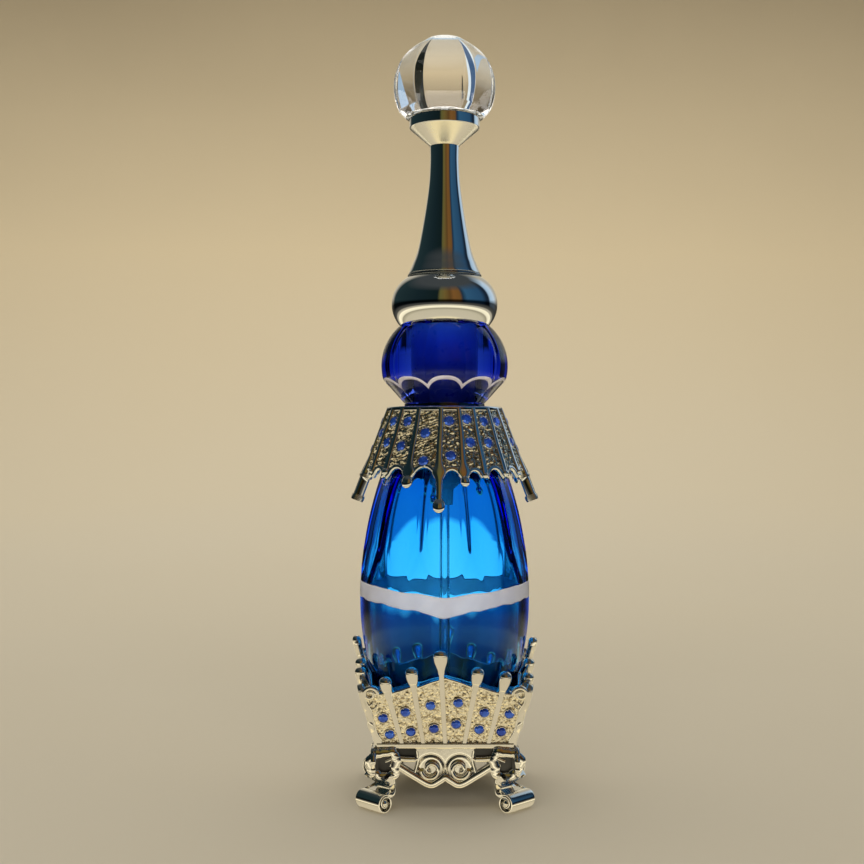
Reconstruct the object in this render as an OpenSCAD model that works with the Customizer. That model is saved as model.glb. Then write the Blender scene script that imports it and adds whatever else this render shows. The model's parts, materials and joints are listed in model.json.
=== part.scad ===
// Perfume atomiser: fluted glass bottle on a jewelled stand, with a crimped
// mini pump that hides under a tall pull-off cap.
// Millimetres, +Z up, origin on the surface that it stands on, at the axis.

/* [Bottle] */
// Largest radius of the glass, at the height of the band
bottle_r = 18.1; // [14:0.1:24]
// Height of the largest radius above the floor
bottle_mid_z = 41.3; // [36:0.1:46]
// Radius of the arc that draws the shoulder
shoulder_arc = 81.75; // [60:0.25:110]
// Radius of the arc that draws the lower belly
belly_arc = 56; // [40:1:80]
// Number of flutes round the shoulder, which is an even number
flutes = 10; // [6:2:16]
// Outer radius of the glass neck
neck_r = 5.6; // [5:0.1:6.2]
// Radius of the neck's bore
neck_bore_r = 4.3; // [4:0.05:4.8]

/* [Collar] */
// Radius of the skirt's top edge
collar_top_r = 12.25; // [10:0.25:15]
// Half angle of the skirt's cone in degrees
collar_angle = 20.8; // [12:0.2:30]
// Height of the skirt's top face above the floor
collar_top_z = 82.4; // [81.5:0.1:84]
// Height of the skirt's lower edge between the drips
collar_edge_z = 68; // [64:0.25:72]
// Depth of the pave field below the ribs
field_depth = 0.5; // [0.2:0.05:0.8]

/* [Cap] */
// Radius of the crystal ball
ball_r = 10.95; // [8:0.05:13]
// Height of the ball's centre above the floor
ball_z = 151; // [145:0.25:156]
// Largest radius of the lobed glass bead
bead_r = 13.6; // [11:0.1:16]
// Radius of the creases between the bead's lobes
crease_r = 0.9; // [0.5:0.05:1.5]
// Radius of the tie rod through the cap
rod_r = 1.5; // [1:0.1:2]

/* [Stand] */
// Half width of the square base plate
plate_half = 14.2; // [12:0.1:18]
// Height of the base plate's underside above the floor
plate_z = 10.6; // [8:0.1:14]
// Thickness of the base plate
plate_t = 2.3; // [1.5:0.1:4]
// Lean of the crown panels from upright in degrees
crown_lean = 15.9; // [5:0.1:25]
// Thickness of the crown panels
crown_t = 1.1; // [0.8:0.05:1.8]
// Radius of the scroll rolls that the legs stand on
roll_r = 1.9; // [1.4:0.05:2.6]
// Length of the scroll rolls
roll_l = 6.6; // [4:0.1:9]

/* [Stones] */
// Girdle radius of every stone
stone_r = 1.0; // [0.6:0.05:1.4]

/* [Pump] */
// Stroke of the pump
pump_stroke = 3.5; // [2:0.1:4]
// Outer radius of the actuator button
button_r = 5.1; // [4.5:0.05:5.2]
// Diameter of the spring's wire
spring_wire = 0.5; // [0.3:0.05:0.7]
// Number of turns of the pump's spring
spring_turns = 5; // [4:1:8]

/* [Hidden] */
$fn = 96;

chrome = [0.70, 0.74, 0.77];
dark_chrome = [0.20, 0.25, 0.30];
glass_blue = [0.10, 0.45, 0.80, 0.75];
cobalt = [0.03, 0.08, 0.30];
crystal = [0.92, 0.95, 0.97, 0.6];
sapphire = [0.08, 0.20, 0.60];
white_plastic = [0.93, 0.93, 0.92];
steel = [0.62, 0.63, 0.65];

plate_top = plate_z + plate_t;
glass_bottom = plate_top + 0.6;
flute_step = 360 / flutes;
flute_ratio = cos(flute_step / 2);
neck_top = 80.2;

// Radius of the glass at a height on the shoulder or the belly.
function arc_r(z) = let (a = z > bottle_mid_z ? shoulder_arc : belly_arc)
    bottle_r - a + sqrt(a * a - (z - bottle_mid_z) * (z - bottle_mid_z));

// A smooth curve through control points, with n steps from each to the next.
function blend(a, b, c, d, t) = 0.5 * ((2 * b) + (c - a) * t
    + (2 * a - 5 * b + 4 * c - d) * t * t + (3 * b - a - 3 * c + d) * t * t * t);
function curve(p, n) = concat([for (i = [0 : len(p) - 2]) for (k = [0 : n - 1])
    blend(p[max(i - 1, 0)], p[i], p[i + 1], p[min(i + 2, len(p) - 1)], k / n)],
    [p[len(p) - 1]]);

// ---------------------------------------------------------------- bottle

module arc_side(a, top) {
    intersection() {
        translate([bottle_r - a, bottle_mid_z])
            circle(r = a, $fn = 240);
        translate([0, top ? bottle_mid_z : glass_bottom])
            square([bottle_r + 1, top ? 32.7 : bottle_mid_z - glass_bottom]);
    }
}

// One pair of opposite flute faces, as a bar across the bottle. The faces run
// out through the surface just above the band and turn away above the shoulder.
function flute_half(z) = arc_r(z) * (z > 53 ? flute_ratio
    : flute_ratio + (1.004 - flute_ratio) * (53 - z) / 9.5);
flute_z = [42, 43.5, 46, 48.5, 51, 53, 56, 59, 62, 65, 68, 71, 74];

module flute_bar() {
    up = [for (z = flute_z) [flute_half(z), z]];
    down = [for (i = [len(flute_z) - 1 : -1 : 0]) [-flute_half(flute_z[i]), flute_z[i]]];
    rotate([90, 0, 90])
        linear_extrude(height = 60, center = true)
            polygon(concat([[25, glass_bottom - 1], [25, 42]], up, down,
                [[-25, 42], [-25, glass_bottom - 1]]));
}

module bottle_cavity() {
    rotate_extrude()
        polygon(concat([[0, neck_top + 1], [neck_bore_r, neck_top + 1]],
            curve([[neck_bore_r, 74.6], [5.4, 72.6], [8.2, 70.4], [10.6, 67],
                   [12.6, 62], [14.1, 56], [15.2, 50], [15.9, 44], [15.9, 37],
                   [15.2, 30], [13.5, 23.5], [10.6, 19], [6, 17.4], [0, 17]], 2)));
}

module bottle() {
    color(glass_blue) difference() {
        union() {
            intersection() {
                rotate_extrude() {
                    arc_side(shoulder_arc, true);
                    arc_side(belly_arc, false);
                }
                intersection_for (i = [0 : flutes / 2 - 1])
                    rotate([0, 0, i * flute_step]) flute_bar();
            }
            rotate_extrude()
                polygon([[0, 72], [9.2, 72], [9.2, 73.9], [7.6, 75.2], [6.2, 76],
                         [neck_r, 76.6], [neck_r, 77.5], [6.5, 77.5],
                         [6.5, neck_top], [0, neck_top]]);
        }
        bottle_cavity();
    }
}

module neck_gasket() {
    color(white_plastic) ring(6.5, 4.4, neck_top, 80.9);
}

// A flat ring from height z0 to z1.
module ring(ro, ri, z0, z1) {
    translate([0, 0, z0]) difference() {
        cylinder(r = ro, h = z1 - z0);
        translate([0, 0, -1]) cylinder(r = ri, h = z1 - z0 + 2);
    }
}

// ---------------------------------------------------------------- closure

module ferrule() {
    color(chrome) rotate_extrude()
        polygon([[5.75, 76.9], [7.1, 76.9], [7.1, 80.4], [8.2, 80.4], [8.2, 81.4],
                 [7.1, 81.4], [7.1, 83], [6.25, 83], [6.25, 88.2], [6.05, 88.4],
                 [5.5, 88.4], [5.5, 82.4], [6.6, 82.4], [6.6, 77.4], [5.75, 77.4]]);
}

module neck_ring() {
    color(chrome) rotate_extrude()
        polygon([[7.12, 82.4], [8.6, 82.4], [8.6, 83], [8.45, 83.15], [7.12, 83.15]]);
}

module stem_guide() {
    color(white_plastic) rotate_extrude()
        polygon([[1.5, 82.4], [5.4, 82.4], [5.4, 84.3], [2.9, 84.3], [2.6, 84.7], [1.5, 84.7]]);
}

module pump_housing() {
    color(white_plastic) rotate_extrude()
        polygon([[0.7, 66], [0.7, 64.4], [1.17, 64.4], [1.17, 61.5], [1.9, 61.5],
                 [2.1, 65], [3.7, 66.4], [3.7, 80.9], [6.5, 80.9], [6.5, 82.4],
                 [3, 82.4], [3, 69.4], [1.3, 69.4], [1.3, 66.8]]);
}

module dip_tube() {
    color(white_plastic) rotate_extrude()
        polygon([[0.75, 19], [1.15, 18.4], [1.15, 64.4], [0.75, 64.4]]);
}

// ---------------------------------------------------------------- collar

// Direction of each rib, the height of its tip, the radius of its rounded end.
ribs = [[-4, 61.2, 1.4], [13, 66.3, 1.1], [28, 67.4, 1], [46, 67.6, 1.2],
        [63, 68.2, 0.7], [80, 62.6, 1.4], [98, 67.4, 0.8], [116, 65.8, 1.2],
        [136, 67.4, 1.2], [154, 64.2, 1.3], [172, 68.2, 0.7], [190, 61.8, 1.4],
        [208, 67.2, 1.1], [226, 65.4, 1.2], [244, 68.2, 0.7], [262, 66.6, 1.2],
        [280, 62.6, 1.4], [297, 68.2, 0.7], [314, 67.8, 1.3], [334, 66, 1.3]];
// Direction and height of each stone on the skirt, with one row between two ribs.
collar_seats = [for (s = [[-54.5, 79.3], [-54.5, 74.9], [-36, 79.3], [-37, 74.2], [-17, 76.9],
        [-16, 71.2], [3.5, 79.4], [4, 72.3], [20, 79.8], [20.5, 75], [37.5, 79.3], [37, 74.9],
        [54.5, 79.3], [71.5, 75], [89, 79.4], [89, 73.6], [107, 78], [126, 79.4],
        [126, 73.8], [145, 76.4], [163, 79.4], [163, 73.2], [181, 76.4], [199, 79.4],
        [199, 73], [217, 76.2], [235, 79.4], [253, 75], [271, 79.4], [271, 73.6],
        [288.5, 76.8]]) s];

function cone_r(z) = collar_top_r + (collar_top_z - z) * tan(collar_angle);

// Places children on the cone at a direction and a height, with +Z outwards.
module on_cone(az, z, inset) {
    rotate([0, 0, az])
        translate([0, -cone_r(z), z])
            rotate([90 - collar_angle, 0, 0])
                translate([0, 0, -inset])
                    children();
}

module rib(az, tip_z, head) {
    len = (81.9 - tip_z - head) / cos(collar_angle);
    on_cone(az, 81.9, 1.1) {
        translate([-0.6, -len, 0]) cube([1.2, len, 1.15]);
        translate([0, -len, 0]) cylinder(r = head, h = 1.25, $fn = 40);
    }
}

module skirt() {
    rotate_extrude()
        polygon([[7.15, 81.4], [10.4, 81.4], [cone_r(collar_edge_z) - 1.7, collar_edge_z],
                 [cone_r(collar_edge_z) - field_depth, collar_edge_z],
                 [cone_r(81.2) - field_depth, 81.2], [cone_r(81.2), 81.2],
                 [cone_r(collar_top_z - 0.2), collar_top_z - 0.2],
                 [collar_top_r - 0.2, collar_top_z], [7.15, collar_top_z]]);
}

// The notch that leaves an arch of width w between two drips.
module arch(w) {
    translate([0, -8, collar_edge_z - 0.15 * w]) rotate([90, 0, 0])
        linear_extrude(height = 20)
            polygon(concat([[-w / 2, -4], [w / 2, -4]],
                [for (i = [0 : 6]) [w / 2 * cos(30 * i), w / 2 * sin(30 * i)]]));
}

function rib_angle(i) = ribs[i % len(ribs)][0] + (i == len(ribs) ? 360 : 0);

module collar() {
    color(dark_chrome) difference() {
        union() {
            difference() {
                skirt();
                for (i = [0 : len(ribs) - 1])
                    rotate([0, 0, (rib_angle(i) + rib_angle(i + 1)) / 2])
                        arch((rib_angle(i + 1) - rib_angle(i)) * PI / 180
                            * cone_r(collar_edge_z) - 1.2);
            }
            for (r = ribs) rib(r[0], r[1], r[2]);
        }
        for (s = collar_seats)
            on_cone(s[0], s[1], field_depth + 0.75) cylinder(r = stone_r + 0.03, h = 3, $fn = 40);
    }
}

// A round brilliant, girdle down at 0 and table up.
module stone() {
    cylinder(r1 = 0.55, r2 = stone_r, h = 0.4, $fn = 40);
    translate([0, 0, 0.4]) cylinder(r = stone_r, h = 0.12, $fn = 40);
    translate([0, 0, 0.52]) cylinder(r1 = stone_r, r2 = 0.6, h = 0.36, $fn = 40);
}

module collar_stones() {
    color(sapphire)
        for (s = collar_seats) on_cone(s[0], s[1], field_depth + 0.75) stone();
}

// ---------------------------------------------------------------- crown

crown_drop = 14.1 * sin(crown_lean);
crown_ribs = [[0, -1, 20.9], [-4.4, -6.8, 17.1], [3.8, 6.5, 17.1], [-8.7, -12.1, 15], [8.7, 12.1, 16.2]];
crown_seats = [[-12.6, 6.4], [-11.3, 3], [-8.1, 7.7], [-7, 3.6], [-3, 9.2], [-2.3, 4.3],
               [2.6, 9.8], [2.2, 5.3], [7.9, 7.6], [6.9, 4.1], [13, 7.3], [11.4, 3.6]];

// Lays children on the front panel: x across, y up the panel, +Z outwards from its face.
module on_crown(side) {
    rotate([0, 0, side * 90])
        translate([0, -14.1, plate_top])
            rotate([90 + crown_lean, 0, 0])
                children();
}

module crown_outline() {
    polygon([[-20, 0], [20, 0], [20, 12], [15.2, 12.2], [13.4, 11.6], [11.2, 11.8], [9, 12.4],
             [7, 13.2], [5.2, 13.2], [3, 14.2], [0, 15.2], [-3, 14.2], [-5.2, 13.2], [-7, 13.2],
             [-9, 12.4], [-11.2, 11.8], [-13.4, 11.6], [-15.2, 12.2], [-20, 12]]);
    for (r = crown_ribs) prong(r[1], r[2], r[2] > 20 ? 1.5 : 1.3);
    for (s = [-1, 1]) translate([s * 17.9, 12.6]) circle(r = 1.5, $fn = 40);
}

// An upright that necks in under a round head.
module prong(x, top, head) {
    translate([x, top - head]) circle(r = head, $fn = 40);
    translate([x - 0.65, 8]) square([1.3, top - head - 8]);
}

module crown_bar(x0, y0, x1, y1, w) {
    a = atan2(y1 - y0, x1 - x0);
    translate([x0, y0, -0.3]) rotate([0, 0, a]) translate([0, -w / 2, 0])
        cube([norm([x1 - x0, y1 - y0]), w, 0.75]);
}

module crown(side) {
    color(chrome) difference() {
        intersection() {
            union() {
                on_crown(side) translate([0, 0, -crown_t])
                    linear_extrude(height = crown_t) crown_outline();
                on_crown(side) for (r = crown_ribs)
                    crown_bar(r[0], 1.2, r[1], r[2] - 1.2, 1);
                on_crown(side) translate([-20, 0.1, -0.3]) cube([40, 1.5, 0.75]);
            }
            rotate([0, 0, side * 90])
                linear_extrude(height = 60) polygon([[0, -0.05], [-40, -40.05], [40, -40.05]]);
            translate([0, 0, plate_top]) cylinder(r = 60, h = 60);
        }
        for (s = crown_seats)
            on_crown(side) translate([s[0], s[1], -0.62])
                cylinder(r = stone_r + 0.03, h = 3, $fn = 40);
        for (s = [-1, 1])
            on_crown(side) translate([s * 16.1, 9.6, -3]) cylinder(r = 0.5, h = 6, $fn = 32);
    }
}

module crown_front() { crown(0); }
module crown_right() { crown(1); }
module crown_back() { crown(2); }
module crown_left() { crown(3); }

module crown_stones() {
    color(sapphire) for (side = [0 : 3]) for (s = crown_seats)
        on_crown(side) translate([s[0], s[1], -0.62]) stone();
}

// ---------------------------------------------------------------- stand

module base_plate() {
    color(chrome) difference() {
        translate([-plate_half, -plate_half, plate_z])
            cube([2 * plate_half, 2 * plate_half, plate_t]);
        for (a = [45 : 90 : 315]) rotate([0, 0, a]) translate([13.3, 0, plate_z - 1])
            cylinder(r = 0.72, h = 2.6, $fn = 32);
    }
}

module seat_pad() {
    color([0.25, 0.25, 0.27]) translate([0, 0, plate_top]) cylinder(r = 9.6, h = 0.6);
}

module apron_outline() {
    difference() {
        polygon(concat(
            [[-11.4, plate_z]],
            curve([[-11.4, 8.8], [-9.5, 8.2], [-6.2, 6.2], [-3.1, 4.5], [-1.2, 5.3], [0, 6],
                   [1.2, 5.3], [3.1, 4.5], [6.2, 6.2], [9.5, 8.2], [11.4, 8.8]], 4),
            [[11.4, plate_z]]));
        for (s = [-1, 1]) polygon([[s * 9.6, 9.3], [s * 6.1, 9.2], [s * 5.9, 7.4]]);
    }
}

module apron(side) {
    color(chrome) rotate([0, 0, side * 90]) difference() {
        apron_body();
        for (a = [225, 315]) rotate([0, 0, a]) translate([11.7, -3.05, 9.35]) cube([12, 6.1, 3]);
    }
}

module apron_body() {
    translate([0, -11.6, 0]) rotate([90, 0, 0])
        linear_extrude(height = 1.5) apron_outline();
    for (s = [-1, 1]) {
        translate([s * 2.9, -13, 8]) rotate([90, 0, 0]) difference() {
            cylinder(r = 2, h = 1.9, $fn = 48);
            translate([0, 0, 1.2]) ring(1.45, 0.8, 0, 2);
        }
        translate([s * 8 - 3, -13.7, 9.3]) cube([6, 0.7, 0.8]);
    }
}

module apron_front() { apron(0); }
module apron_right() { apron(1); }
module apron_back() { apron(2); }
module apron_left() { apron(3); }

// Side view of a cabriole leg: x is the distance from the axis, y the height.
leg_outer = [[19.9, plate_z], [21.4, 9.9], [22.2, 8.6], [21.7, 7], [20.3, 5.6], [19.9, 4.4],
             [20.4, 3.6]];
leg_inner = [[18.6, 2.6], [17.9, 4], [18.3, 5.6], [19.4, 6.8], [20, 8], [19.6, 9], [18.6, 9.5],
             [11.8, 9.4]];

module leg(turn) {
    color(chrome) rotate([0, 0, turn]) difference() {
        union() {
            translate([0, 3, 0]) rotate([90, 0, 0]) linear_extrude(height = 6)
                polygon(concat([[11.8, plate_z]], curve(leg_outer, 3), curve(leg_inner, 3)));
            translate([20.6, roll_l / 2, roll_r - 0.1]) rotate([90, 0, 0])
                cylinder(r = roll_r, h = roll_l, $fn = 48);
        }
        translate([10, -10, -5]) cube([20, 20, 5]);
        translate([13.3, 0, 5]) cylinder(r = 0.85, h = 8, $fn = 32);
        translate([20.9, 0, 8.7]) rotate([0, 90, 0]) cylinder(r = 1.2, h = 4, $fn = 32);
        for (s = [-1, 1]) translate([20.6, s * roll_l / 2, roll_r - 0.1]) rotate([90, 0, 0])
            translate([0, 0, -0.5]) ring(1.4, 0.7, 0, 1);
    }
}

module leg_fl() { leg(225); }
module leg_fr() { leg(315); }
module leg_br() { leg(45); }
module leg_bl() { leg(135); }

module leg_screws() {
    color(steel) for (a = [45 : 90 : 315]) rotate([0, 0, a]) translate([13.3, 0, 0]) {
        translate([0, 0, 8.2]) cylinder(r = 1.2, h = 1.2, $fn = 32);
        translate([0, 0, 9.4]) cylinder(r = 0.7, h = 2.7, $fn = 32);
    }
}

// ---------------------------------------------------------------- cap

module crystal_ball() {
    color(crystal) difference() {
        rotate_extrude()
            polygon(concat([[0, 144.6], [8.3, 144.6], [9.75, 146]],
                [for (i = [0 : 28]) let (a = -24.5 + i * 114.5 / 28)
                    [ball_r * cos(a), ball_z + ball_r * sin(a)]]));
        for (a = [30 : 60 : 330]) rotate([0, 0, a]) ball_cut();
        translate([0, 0, 143]) cylinder(r = 7.6, h = 2.2);
    }
}

// Takes one vertical facet, curved only from top to bottom, off the ball.
module ball_cut() {
    rotate([90, 0, 0]) linear_extrude(height = 12, center = true)
        polygon(concat([for (i = [0 : 24]) let (a = -72 + i * 6, x = ball_r * 0.917 * cos(a))
            [a < 0 ? max(8.9, x) : x, ball_z + ball_r * 0.917 * sin(a)]],
            [[8, ball_z + 15], [16, ball_z + 15], [16, ball_z - 15], [8, ball_z - 15]]));
}

module finial_cup() {
    color(chrome) difference() {
        rotate_extrude()
            polygon(concat([[0, 145.2], [7.52, 145.2], [7.52, 142.3]],
                curve([[7.42, 142.1], [6.75, 141.5], [5.3, 140.35], [4.1, 139.4], [3.35, 138.8],
                       [3.1, 138.4]], 4), [[0, 138.4]]));
        translate([0, 0, 137]) cylinder(r = rod_r + 0.02, h = 6.6, $fn = 48);
    }
}

module trumpet_stem() {
    color(chrome) difference() {
        rotate_extrude()
            polygon(concat([[0, 110.9], [7.65, 110.9]],
                curve([[7.6, 111.2], [6.85, 113.1], [5.9, 115.6], [5.15, 118.9], [4.1, 124.8],
                       [3.35, 130.3], [3.08, 135], [3.1, 138.4]], 5), [[0, 138.4]]));
        translate([0, 0, 110]) cylinder(r = rod_r + 0.1, h = 30, $fn = 48);
    }
}

module stem_ring() {
    color(dark_chrome) ring(7.95, rod_r + 0.1, 110.3, 110.9);
}

module bulb() {
    color(chrome) difference() {
        rotate_extrude() intersection() {
            translate([4.665, 104.37]) circle(r = 6.69, $fn = 160);
            translate([0, 99.8]) square([14, 10.5]);
        }
        translate([0, 0, 99]) cylinder(r = rod_r + 0.1, h = 12, $fn = 48);
        rotate_extrude()
            polygon([[0, 99], [6.2, 99], [8.2, 102], [8.4, 105], [6.8, 107.4], [0, 108.4]]);
    }
    color(chrome) ring(3.4, rod_r + 0.1, 99.8, 108.3);
}

bead_arc = bead_r - 2;
module bead_crease() {
    translate([2, 0, 91.2]) rotate([90, 0, 0])
        rotate_extrude(angle = 140, start = -70, $fn = 120)
            translate([bead_arc + 0.45, 0]) circle(r = crease_r, $fn = 40);
}

module glass_bead() {
    color(cobalt) difference() {
        rotate_extrude() intersection() {
            translate([2, 91.2]) circle(r = bead_arc, $fn = 200);
            translate([0, 83.2]) square([20, 16.6]);
        }
        for (i = [0 : 9]) rotate([0, 0, 36 * i - 72]) bead_crease();
        translate([0, 0, 80]) cylinder(r = 7.25, h = 30);
    }
}

module inner_cap() {
    color(white_plastic) rotate_extrude()
        polygon([[6.33, 83.4], [7.22, 83.4], [7.22, 99.8], [1.6, 99.8], [1.6, 98.9], [2.7, 98.9],
                 [2.7, 97.7], [6.33, 97.7]]);
}

module tie_rod() {
    color(steel) {
        translate([0, 0, 98.1]) cylinder(r = 2.6, h = 0.8, $fn = 48);
        translate([0, 0, 98.9]) cylinder(r = rod_r, h = 44.5, $fn = 48);
    }
}

// ---------------------------------------------------------------- pump

module pump_stem() {
    color(white_plastic) rotate_extrude()
        polygon([[0.6, 75.9], [1.44, 75.9], [1.44, 91.6], [0.6, 91.6]]);
}

module piston() {
    color(white_plastic) rotate_extrude()
        polygon([[1.46, 76.9], [2.5, 76.9], [2.96, 76.5], [2.96, 77.4], [2.6, 77.7], [2.6, 78.5],
                 [2.96, 78.8], [2.96, 79.6], [2.2, 79.4], [1.46, 79.4]]);
}

spring_r = 2.25;
spring_z0 = 69.4 + spring_wire / 2;
spring_z1 = 76.4 - spring_wire / 2;
spring_sides = 8;
spring_rings = spring_turns * 16;
module pump_spring() {
    n = spring_rings;
    m = spring_sides;
    pts = [for (i = [0 : n]) for (k = [0 : m - 1])
        let (a = 360 * spring_turns * i / n, t = 360 * k / m,
             r = spring_r + spring_wire / 2 * cos(t))
        [r * cos(a), r * sin(a),
         spring_z0 + (spring_z1 - spring_z0) * i / n + spring_wire / 2 * sin(t)]];
    sides = [for (i = [0 : n - 1]) for (k = [0 : m - 1])
        [i * m + k, i * m + (k + 1) % m, (i + 1) * m + (k + 1) % m, (i + 1) * m + k]];
    tris = concat([for (q = sides) [q[0], q[1], q[2]]], [for (q = sides) [q[0], q[2], q[3]]]);
    color(steel) polyhedron(points = pts, faces = concat(tris,
        [[for (k = [m - 1 : -1 : 0]) k]], [[for (k = [0 : m - 1]) n * m + k]]));
}

module actuator_button() {
    color(white_plastic) difference() {
        rotate_extrude()
            polygon([[0, 88.6], [4.9, 88.6], [button_r, 88.8], [button_r, 96.5],
                     [4.7, 96.9], [0, 96.9]]);
        translate([0, 0, 108.4]) sphere(r = 12.2, $fn = 120);
        translate([0, 0, 88]) cylinder(r = 1.47, h = 4, $fn = 48);
        translate([0, 0, 91]) cylinder(r = 0.5, h = 3, $fn = 32);
        translate([0, 0, 93.5]) rotate([90, 0, 0]) cylinder(r = 0.5, h = 8, $fn = 32);
        translate([0, -3.4, 93.5]) rotate([90, 0, 0]) cylinder(r = 1.4, h = 4, $fn = 48);
    }
}

module nozzle_insert() {
    color(white_plastic) translate([0, -3.4, 93.5]) rotate([90, 0, 0]) difference() {
        cylinder(r = 1.38, h = 1.5, $fn = 48);
        translate([0, 0, -1]) cylinder(r = 0.15, h = 4, $fn = 24);
        translate([0, 0, -0.1]) cylinder(r = 0.5, h = 1, $fn = 32);
    }
}

module inlet_ball() {
    color(steel) translate([0, 0, 67.55]) sphere(r = 1, $fn = 48);
}

bottle();
neck_gasket();
ferrule();
neck_ring();
collar();
collar_stones();
pump_housing();
dip_tube();
stem_guide();
base_plate();
seat_pad();
crown_front();
crown_right();
crown_back();
crown_left();
crown_stones();
apron_front();
apron_right();
apron_back();
apron_left();
leg_fl();
leg_fr();
leg_br();
leg_bl();
leg_screws();
crystal_ball();
finial_cup();
trumpet_stem();
stem_ring();
bulb();
glass_bead();
inner_cap();
tie_rod();
pump_stem();
piston();
pump_spring();
actuator_button();
nozzle_insert();
inlet_ball();
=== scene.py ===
import json
import math

import bmesh
import bpy
import numpy as np
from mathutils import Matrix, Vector

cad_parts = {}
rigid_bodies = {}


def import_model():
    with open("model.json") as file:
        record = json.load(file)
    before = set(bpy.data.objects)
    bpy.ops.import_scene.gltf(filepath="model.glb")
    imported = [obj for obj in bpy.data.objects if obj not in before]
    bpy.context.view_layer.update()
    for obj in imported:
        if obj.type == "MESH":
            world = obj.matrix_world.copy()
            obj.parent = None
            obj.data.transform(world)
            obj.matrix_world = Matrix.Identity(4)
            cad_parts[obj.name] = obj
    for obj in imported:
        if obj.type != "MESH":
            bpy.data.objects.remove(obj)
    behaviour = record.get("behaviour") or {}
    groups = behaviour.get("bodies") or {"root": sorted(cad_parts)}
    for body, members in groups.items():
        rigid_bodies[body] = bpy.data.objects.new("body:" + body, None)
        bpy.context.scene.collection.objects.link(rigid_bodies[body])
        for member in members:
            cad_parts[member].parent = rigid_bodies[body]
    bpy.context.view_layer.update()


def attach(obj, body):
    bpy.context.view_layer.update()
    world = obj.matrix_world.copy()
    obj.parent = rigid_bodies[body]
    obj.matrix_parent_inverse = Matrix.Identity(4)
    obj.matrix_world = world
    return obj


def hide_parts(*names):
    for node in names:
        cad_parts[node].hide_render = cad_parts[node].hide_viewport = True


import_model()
MM = 0.001
SENSOR = 36.0
scene = bpy.context.scene

# ---- camera

cam_data = bpy.data.cameras.new("camera")
cam_data.sensor_width = SENSOR
cam_data.lens = SENSOR * 1283 / 864
cam = bpy.data.objects.new("camera", cam_data)
cam.location = (-0.0027, -0.276, 0.077)
cam.rotation_euler = (math.pi / 2, 0, 0)
scene.collection.objects.link(cam)
scene.camera = cam

# ---- materials


def material(name, **values):
    """A Principled material, with its sockets set, and its nodes and links handy."""
    m = bpy.data.materials.new(name)
    m.use_nodes = True
    nt = m.node_tree
    p = nt.nodes["Principled BSDF"]
    for key, v in values.items():
        p.inputs[key.replace("_", " ")].default_value = (*v, 1) if isinstance(v, tuple) and len(v) == 3 else v
    return m, nt, p


def noise(nt, scale, detail=3.0, rough=0.5, stretch=None):
    """Noise over the object's own coordinates."""
    tc = nt.nodes.new("ShaderNodeTexCoord")
    n = nt.nodes.new("ShaderNodeTexNoise")
    n.inputs["Scale"].default_value = scale
    n.inputs["Detail"].default_value = detail
    n.inputs["Roughness"].default_value = rough
    src = tc.outputs["Object"]
    if stretch:
        mp = nt.nodes.new("ShaderNodeMapping")
        mp.inputs["Scale"].default_value = stretch
        nt.links.new(src, mp.inputs["Vector"])
        src = mp.outputs["Vector"]
    nt.links.new(src, n.inputs["Vector"])
    return n


def ranged(nt, out, lo, hi):
    """The middle of a noise's range, spread from lo to hi."""
    r = nt.nodes.new("ShaderNodeMapRange")
    r.inputs["From Min"].default_value = 0.3
    r.inputs["From Max"].default_value = 0.7
    r.inputs["To Min"].default_value = lo
    r.inputs["To Max"].default_value = hi
    nt.links.new(out, r.inputs["Value"])
    return r.outputs["Result"]


def tinted(nt, p, out, a, b, stops=(0.35, 0.65)):
    """A base colour between two close shades."""
    ramp = nt.nodes.new("ShaderNodeValToRGB")
    ramp.color_ramp.elements[0].position, ramp.color_ramp.elements[0].color = stops[0], (*a, 1)
    ramp.color_ramp.elements[1].position, ramp.color_ramp.elements[1].color = stops[1], (*b, 1)
    nt.links.new(out, ramp.inputs["Fac"])
    nt.links.new(ramp.outputs["Color"], p.inputs["Base Color"])


def maths(nt, op, a, b=None, clamp=False):
    """A Math node. Its operands are numbers or sockets."""
    n = nt.nodes.new("ShaderNodeMath")
    n.operation = op
    n.use_clamp = clamp
    for i, v in enumerate((a, b)):
        if v is None:
            continue
        if isinstance(v, (int, float)):
            n.inputs[i].default_value = v
        else:
            nt.links.new(v, n.inputs[i])
    return n.outputs[0]


def ramped(nt, fac, stops):
    """A colour ramp through stops of (position, colour)."""
    node = nt.nodes.new("ShaderNodeValToRGB")
    r = node.color_ramp
    while len(r.elements) < len(stops):
        r.elements.new(0.5)
    for e, (pos, _) in zip(r.elements, stops):
        e.position = pos
    for e, (_, col) in zip(r.elements, stops):
        e.color = (*col, 1)
    nt.links.new(fac, node.inputs["Fac"])
    return node.outputs["Color"]


def bumped(nt, p, out, strength, distance):
    b = nt.nodes.new("ShaderNodeBump")
    b.inputs["Strength"].default_value = strength
    b.inputs["Distance"].default_value = distance
    nt.links.new(out, b.inputs["Height"])
    nt.links.new(b.outputs["Normal"], p.inputs["Normal"])


def absorbing(nt, color, density):
    v = nt.nodes.new("ShaderNodeVolumeAbsorption")
    v.inputs["Color"].default_value = (*color, 1)
    v.inputs["Density"].default_value = density
    nt.links.new(v.outputs["Volume"], nt.nodes["Material Output"].inputs["Volume"])


def emitting(name):
    """A material of a single Emission shader."""
    m = bpy.data.materials.new(name)
    m.use_nodes = True
    nt = m.node_tree
    nt.nodes.remove(nt.nodes["Principled BSDF"])
    em = nt.nodes.new("ShaderNodeEmission")
    nt.links.new(em.outputs[0], nt.nodes["Material Output"].inputs["Surface"])
    return m, nt, em


def parts_of(nt, space):
    """The three parts of a surface point, in object or generated coordinates."""
    sep = nt.nodes.new("ShaderNodeSeparateXYZ")
    nt.links.new(nt.nodes.new("ShaderNodeTexCoord").outputs[space], sep.inputs[0])
    return sep


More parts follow.
